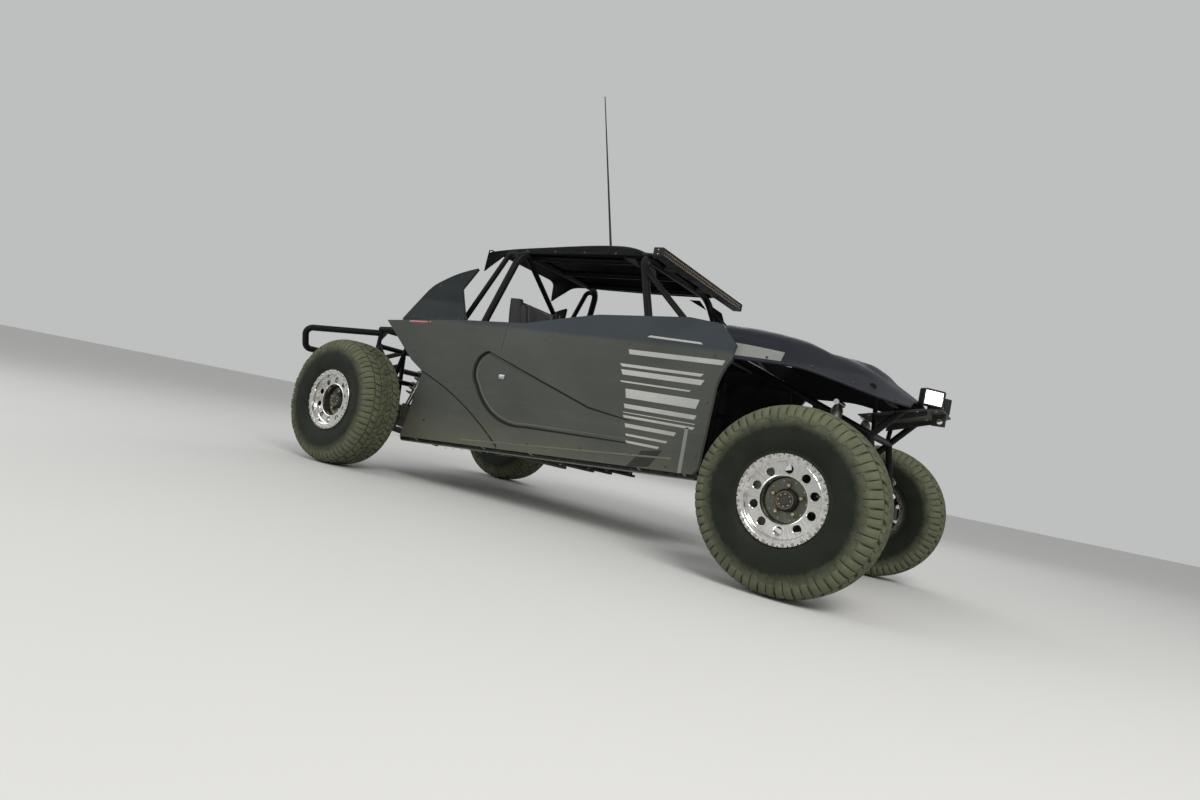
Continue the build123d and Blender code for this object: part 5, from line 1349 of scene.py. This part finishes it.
def arm_fittings(side, z_root, z_foot, span):
    """Bolts at the roots and the ball joint of one wishbone, with its web plate and weld beads."""
    foot = Vector((FRONT_X, side * KINGPIN_Y, z_foot))
    legs = [Vector((FRONT_X + leg * span, side * ARM_ROOT_Y, z_root)) for leg in SIDES]
    for root in legs:
        for end in SIDES:
            at = root + Vector((end * 0.0305, 0, 0))
            fittings.bolt(at, (end, 0, 0), (0.0150, 0.0022), (0.0105, 0.0075), 0.002, 1, 22)
        fittings.tube([foot.lerp(root, 0.865), foot.lerp(root, 0.905)], 0.0235, 6, 1)
        bead(fittings, foot.lerp(root, 0.075), (root - foot).normalized(), 0.0205)
    (a, c), (b, d) = ((foot.lerp(root, 0.09), foot.lerp(root, 0.42)) for root in legs)
    normal = (legs[0] - foot).cross(legs[1] - foot).normalized()
    web = [a, b, d, (c + d) / 2 * 0.55 + (a + b) / 2 * 0.45, c]
    fittings.prism([(p, normal) for p in web], -0.003, 0.006, 2, 0.0015)
    for end in SIDES:
        fittings.button(foot + Vector((0, 0, end * 0.0285)), (0, 0, end), 0.0180, 0.0030, 24, 1, 0.3)


for side in SIDES:
    for (x, y, z), axis, radius in BEADS:
        bead(fittings, (x, side * y, z), axis, radius)
    for corners, (nx, ny, nz), thickness in WEBS:
        gusset(fittings, [(x, side * y, z) for x, y, z in corners], (nx, side * ny, nz), thickness)
    for corners, normal, thickness in FRAME_WEBS:
        gusset(fittings, [(x, side * y, z) for x, y, z in corners], normal, thickness)
    for z_root, z_foot, span in ARMS:
        arm_fittings(side, z_root, z_foot, span)
    for end in SIDES:
        fittings.button((FRONT_X + end * 0.0805, side * 0.610, 0.372), (end, 0, 0), 0.0125, 0.0080, 6, 1, 0.2)
    # trailing arms: lightening dishes and pivot bolts
    for x, y, radius, lean in DISHES:
        bead(fittings, (x, side * y, 0.430), (lean, side, 0), radius, 0.004, 2)
    for face in SIDES:
        at = (-0.745, side * 0.420 + face * 0.0765, rail_height(-0.745) + 0.060)
        fittings.bolt(at, (0, face, 0), (0.022, 0.004), (0.015, 0.010), 0.0035, 1, 28)
    # rows of rivets under the skid plate, with pressed ribs between them
    for k in range(26):
        x = -0.80 + 0.0765 * k
        fittings.button((x, side * 0.600, rail_height(x) - 0.017), (0, 0, -1), 0.0075, 0.0022, 12, 1, 0.5)
    for k in range(9):
        x = -0.74 + 0.22 * k
        fittings.button((x, side * 0.30, rail_height(x) - 0.017), (0, 0, -1), 0.0090, 0.0026, 12, 1, 0.5)
        if k < 8:
            fittings.rings([
                [
                    (end, side * y, rail_height(end) - 0.017 + lift)
                    for y, lift in ((0.12, 0.001), (0.155, 0.001), (0.148, -0.005), (0.127, -0.005))
                ]
                for end in (x + 0.02, x + 0.20)
            ], 3)
    # fins: edge beads and fasteners
    fittings.tube(smooth_path([side_face(x, z, side, -0.008) for x, z in FIN_EDGE], 6), 0.0105, 10, 4)
    front_edge = [side_face(x, z, side, -0.008) for x, z in ((-0.884, 1.575), (-0.937, 1.409), (-0.764, 1.174))]
    fittings.tube(front_edge, 0.0100, 10, 4)
    for x, z in ((-1.27, 1.155), (-1.00, 1.165), (-0.82, 1.175), (-1.16, 1.42), (-1.00, 1.505)):
        out = side_normal(z, side)
        fittings.bolt(side_face(x, z, side), out, (0.0080, 0.0014), (0.0048, 0.0014), 0.0012, 5, 18)
    # nose plate bolts
    for x, y in ((1.90, 0.27), (2.02, 0.255), (2.13, 0.245), (2.21, 0.185), (1.90, 0.16), (2.13, 0.10)):
        z = 0.961 + (x - 1.849) * PLATE_SLOPE
        fittings.button((x, side * y, z), (-0.24, 0, 1), 0.0085, 0.0035, 6, 1, 0.2)
        fittings.button((x, side * y, z - 0.0065), (0.24, 0, -1), 0.0085, 0.0050, 6, 1, 0.2)
fittings.make(
    "fittings", [cage, fastener, arm_steel, skid, fin_wrap, dull_fastener], "chassis", "painted_cage", angle=35,
)

# Rear deck: woven mesh under the slots and bolts along the edges
mesh_guard = Shape()
deck_low, deck_high = (Vector(c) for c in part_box("rear_deck"))


def deck_z(x):
    return deck_low.z + (deck_high.z - deck_low.z - 0.006) * (x - deck_low.x) / (deck_high.x - deck_low.x)


for side in SIDES:
    for k in range(26):
        y = side * 0.2 - 0.15 + 0.012 * k
        mesh_guard.tube([(-1.46, y, deck_z(-1.46) + 0.001), (-1.17, y, deck_z(-1.17) + 0.001)], 0.0014, 6, 0)
    for k in range(24):
        x = -1.455 + 0.012 * k
        mesh_guard.tube(
            [(x, side * 0.2 - 0.155, deck_z(x) + 0.0022), (x, side * 0.2 + 0.155, deck_z(x) + 0.0022)], 0.0014, 6, 0,
        )
    for x in (-1.48, -1.32, -1.14, -0.96, -0.82):
        mesh_guard.button((x, side * 0.535, deck_z(x) + 0.006), (0, 0, 1), 0.0095, 0.0030, 16, 1, 0.4)
        mesh_guard.button((x, side * 0.045, deck_z(x) + 0.006), (0, 0, 1), 0.0080, 0.0030, 16, 1, 0.4)
mesh_guard.make("deck_mesh", [arm_steel, fastener], "chassis", "body_panel", angle=35)

# Dashboard: a display, gauges, switches and vents, all plain
dash = Shape()
dash.box((0.5690, 0.205, 1.1925), (0.5745, 0.395, 1.2555), 0, 0.002)
dash.box((0.5680, 0.213, 1.1990), (0.5700, 0.387, 1.2490), 1, 0.0008)


def on_dash(y, z):
    return Vector((0.565 + 0.02 * (z - 1.09) / 0.125, y, z))


face = Vector((-1, 0, 0.16)).normalized()
for y, r in ((0.48, 0.030), (0.115, 0.030), (-0.10, 0.024), (-0.17, 0.024)):
    dash.button(on_dash(y, 1.150), face, r, 0.010, 32, 0, 0.3)
    dash.button(on_dash(y, 1.150) + face * 0.009, face, r * 0.80, 0.0016, 32, 1, 0.2)
    dash.button(on_dash(y, 1.150) + face * 0.0105, face, r * 0.10, 0.0020, 14, 2, 0.4)
for row, z in enumerate((1.130, 1.172)):
    for k in range(7):
        at = on_dash(-0.50 + 0.042 * k, z)
        dash.button(at, face, 0.0115, 0.0025, 20, 2, 0.3)
        dash.button(at + face * 0.002, face, 0.0042, 0.014, 12, 3 if (k + row) % 3 == 0 else 2, 0.5)
for y in (0.03, 0.54):
    for k in range(5):
        at = on_dash(y, 1.118 + 0.014 * k)
        dash.box((at.x - 0.004, y - 0.022, at.z - 0.0018), (at.x + 0.002, y + 0.022, at.z + 0.0018), 0)
dash.make("dash_fittings", [plastic, screen, fastener, red_decal], "chassis", "trim", angle=35)

# Battery: lid flange, hold-down straps, bolts and a sealed connector
pack_low, pack_high = (Vector(c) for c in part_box("battery_pack"))
battery = Shape()
battery.box(
    (pack_low.x - 0.010, pack_low.y - 0.010, 0.716), (pack_high.x + 0.010, pack_high.y + 0.010, 0.728), 0, 0.002,
)
for k in range(9):
    y = pack_low.y + 0.03 + (pack_high.y - pack_low.y - 0.06) * k / 8
    for x in (pack_low.x - 0.003, pack_high.x + 0.003):
        battery.button((x, y, 0.728), (0, 0, 1), 0.0062, 0.0050, 6, 1, 0.2)
for x in (-1.02, -0.78):
    low_y, high_y = pack_low.y - 0.0015, pack_high.y + 0.0015
    strap_line = [
        Vector((x, y, z)) for y, z in (
            (low_y, 0.40), (low_y, 0.798), (low_y + 0.0035, 0.8015),
            (high_y - 0.0035, 0.8015), (high_y, 0.798), (high_y, 0.40),
        )
    ]
    wide = Vector((0.021, 0, 0))
    for a, b in zip(strap_line, strap_line[1:]):
        out = Vector((1, 0, 0)).cross(b - a).normalized() * -0.0015
        battery.rings([[p - wide - out, p + wide - out, p + wide + out, p - wide + out] for p in (a, b)], 2)
for k in range(6):
    x = -1.08 + 0.075 * k
    battery.box((x, -0.27, 0.7990), (x + 0.030, 0.27, 0.8035), 0, 0.0015)
battery.box((-1.150, -0.07, 0.60), (-1.120, 0.07, 0.68), 0, 0.006)
for y in (-0.035, 0.035):
    battery.button((-1.149, y, 0.64), (-1, 0, 0), 0.022, 0.014, 28, 3, 0.3)
battery.make("battery_fittings", [casing, fastener, webbing_dark, plastic], "chassis", "battery_case", angle=35)

# Drive unit: cooling ribs and cover bolts
drive = Shape()
DRUMS = [
    # x and z of the axis, ribs with their first y, spacing and radius, bolt circle's radius, y, bolt's size
    ((REAR_X, AXLE_Z), (15, -0.182, 0.026, 0.1262), (0.108, 0.2052, 0.0078, 0.0060)),
    ((-1.345, 0.505), (9, -0.12, 0.03, 0.1312), (0.114, 0.1502, 0.0070, 0.0055)),
]
for (x, z), (ribs, first, spacing, radius), (circle, face_y, size, height) in DRUMS:
    for k in range(ribs):
        bead(drive, (x, first + spacing * k, z), (0, 1, 0), radius, 0.0030, 0, 40)
    for side in SIDES:
        for place in circle_points(Vector((x, side * face_y, z)), Vector((1, 0, 0)), Vector((0, 0, 1)), circle, 12):
            drive.button(place, (0, side, 0), size, height, 6, 1, 0.2)
for side in SIDES:
    bead(drive, (-1.345, side * 0.1505, 0.505), (0, 1, 0), 0.070, 0.004, 0, 32)
drive.make("drive_fittings", [casting, fastener], "chassis", "drive_casting", angle=35)

# Boots on the rear half shafts, turning with them
boots = Shape()
for start, pleat, wide, thin in ((-0.165, -0.0125, 0.050, 0.028), (-0.728, 0.0125, 0.050, 0.028)):
    profile = [(thin - 0.004, start)]
    for k in range(7):
        size = wide - (wide - thin) * k / 6
        profile += [(size, start + pleat * k), (size - 0.009, start + pleat * (k + 0.5))]
    profile += [(thin - 0.004, start + pleat * 7)]
    boots.lathe(profile, 40, 0, closed=False)
for corner, turn in (("rear_left", math.pi), ("rear_right", 0.0)):
    body = f"wheel_{corner}"
    boots.make(f"shaft_boots_{corner}", [plastic], body, "hub_metal", SPINS[body], turn, 50)

# Whip aerial: base spring, ferrules and a tip
whip = Shape()
coil = []
for k in range(14 * 7):
    angle = 2 * math.pi * k / 14
    coil.append((-0.145 + 0.0125 * math.cos(angle), 0.0125 * math.sin(angle), 1.888 + 0.00034 * k))
whip.tube(coil, 0.0019, 6, 0)
whip.button((-0.145, 0, 1.8860), (0, 0, 1), 0.0255, 0.004, 24, 1, 0.3)
whip.button((-0.507, 0, 3.1400), (-0.27, 0, 0.96), 0.0052, 0.0016, 16, 1, 0.5)
whip.make("aerial_fittings", [fastener, plastic], "chassis", "antenna", angle=35)


# Coil-over shocks with true springs. Slots: body, spring, rod, plastic
def coil_over(shape, foot, head, turns, wire, radius):
    foot, head = Vector(foot), Vector(head)
    axis = (head - foot).normalized()
    length = (head - foot).length
    u = Vector((0, 1, 0)).cross(axis).normalized()
    v = axis.cross(u)

    def turned(profile, slot, sides=32):
        shape.rings([circle_points(foot + axis * along, u, v, r, sides) for r, along in profile], slot)

    low, high = 0.16 * length, 0.80 * length
    turned([(0.016, 0.002), (0.016, low - 0.014)], 2, 20)
    turned([(0.030, low - 0.016), (0.058, low - 0.010), (0.058, low - 0.002), (0.046, low), (0.026, low + 0.004)], 0)
    turned([(0.022, low), (0.022, length * 0.34), (0.009, length * 0.345), (0.009, length * 0.42)], 2, 20)
    turned([(0.034, length * 0.40), (0.036, length * 0.41), (0.036, high - 0.02), (0.034, high)], 0)
    turned([(0.040, high - 0.05), (0.043, high - 0.045), (0.043, high - 0.032), (0.040, high - 0.028)], 3)
    turned([(0.046, high), (0.058, high + 0.002), (0.058, high + 0.011), (0.040, high + 0.013)], 0)
    turned([(0.032, high + 0.012), (0.032, length - 0.03), (0.026, length - 0.012), (0.020, length)], 0)
    path = []
    steps = 22
    first, last = low + wire, high - wire
    for k in range(turns * steps + 1):
        t = k / (turns * steps)
        eased = t - math.sin(2 * math.pi * t) * 0.028
        angle = 2 * math.pi * k / steps
        path.append(
            foot
            + axis * (first + (last - first) * eased)
            + (u * math.cos(angle) + v * math.sin(angle)) * (radius - wire)
        )
    shape.tube(path, wire, 10, 1)


shocks = {"front": Shape(), "rear": Shape()}
for side in SIDES:
    coil_over(shocks["front"], (FRONT_X, side * 0.610, 0.372), (1.750, side * 0.345, 0.985), 9, 0.0068, 0.053)
    coil_over(shocks["rear"], (-1.235, side * 0.640, 0.510), (-1.080, side * 0.535, 1.093), 9, 0.0072, 0.053)
    shocks["front"].tube([(1.750, side * 0.25, 1.0), (1.750, side * 0.40, 1.0)], 0.015, 16, 2)
for name, shape in shocks.items():
    obj = shape.make(
        f"coil_overs_{name}", [shock_metal, spring_metal, chrome, plastic], "chassis", "spring_steel", angle=40,
    )
    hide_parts(f"{name}_shocks")


# Stage: a wide pale floor, soft lights and the photograph's camera
floor = Shape()
floor.lathe([(0.0, 0.0), (60.0, 0.0)], 96, closed=False)
floor_mesh = bpy.data.meshes.new("floor")
floor_mesh.from_pydata([(x, z, -0.0008) for x, y, z in floor.points], [], floor.faces)
floor_obj = bpy.data.objects.new("floor", floor_mesh)
bpy.context.scene.collection.objects.link(floor_obj)
pale = Graph("pale_floor", (0.66, 0.655, 0.64), 0.85)
pale.colour(pale.mix(pale.noise(0.6), (0.64, 0.635, 0.62), (0.68, 0.675, 0.66)))
floor_mesh.materials.append(pale.material)

world = bpy.data.worlds.new("studio")
bpy.context.scene.world = world
world.use_nodes = True
backdrop = world.node_tree.nodes["Background"]
backdrop.inputs[0].default_value = (0.83, 0.84, 0.84, 1)
backdrop.inputs[1].default_value = 0.62


def soft_light(name, place, target, size, power, colour=(1, 1, 1)):
    light = bpy.data.lights.new(name, "AREA")
    light.shape = "RECTANGLE"
    light.size, light.size_y = size
    light.energy = power
    light.color = colour
    obj = bpy.data.objects.new(name, light)
    bpy.context.scene.collection.objects.link(obj)
    obj.location = place
    obj.rotation_euler = (Vector(target) - Vector(place)).to_track_quat("-Z", "Y").to_euler()


soft_light("key", (5.5, -5.0, 6.0), (0.6, -0.3, 0.6), (4.5, 3.0), 400, (1.0, 0.985, 0.95))
soft_light("fill", (-5.0, -6.0, 3.5), (-0.6, 0, 0.8), (5.0, 3.0), 130, (0.95, 0.98, 1.0))
soft_light("rim", (-2.0, 6.5, 5.0), (0, 0, 1.0), (6.0, 2.5), 110, (0.97, 0.98, 1.0))

yaw, pitch, roll = math.radians(123.05), math.radians(2.94), math.radians(11.44)
forward = Vector((math.cos(yaw) * math.cos(pitch), math.sin(yaw) * math.cos(pitch), math.sin(pitch)))
level = forward.cross(Vector((0, 0, 1))).normalized()
upright = level.cross(forward)
right = level * math.cos(roll) + upright * math.sin(roll)
up = upright * math.cos(roll) - level * math.sin(roll)
lens = bpy.data.cameras.new("camera")
lens.sensor_width, lens.lens = 36.0, 21.39
lens.clip_end = 200
camera = bpy.data.objects.new("camera", lens)
bpy.context.scene.collection.objects.link(camera)
camera.matrix_world = Matrix.Translation((2.787, -4.281, 0.559)) @ Matrix((right, up, -forward)).transposed().to_4x4()
bpy.context.scene.camera = camera
bpy.context.scene.view_settings.view_transform = "Standard"
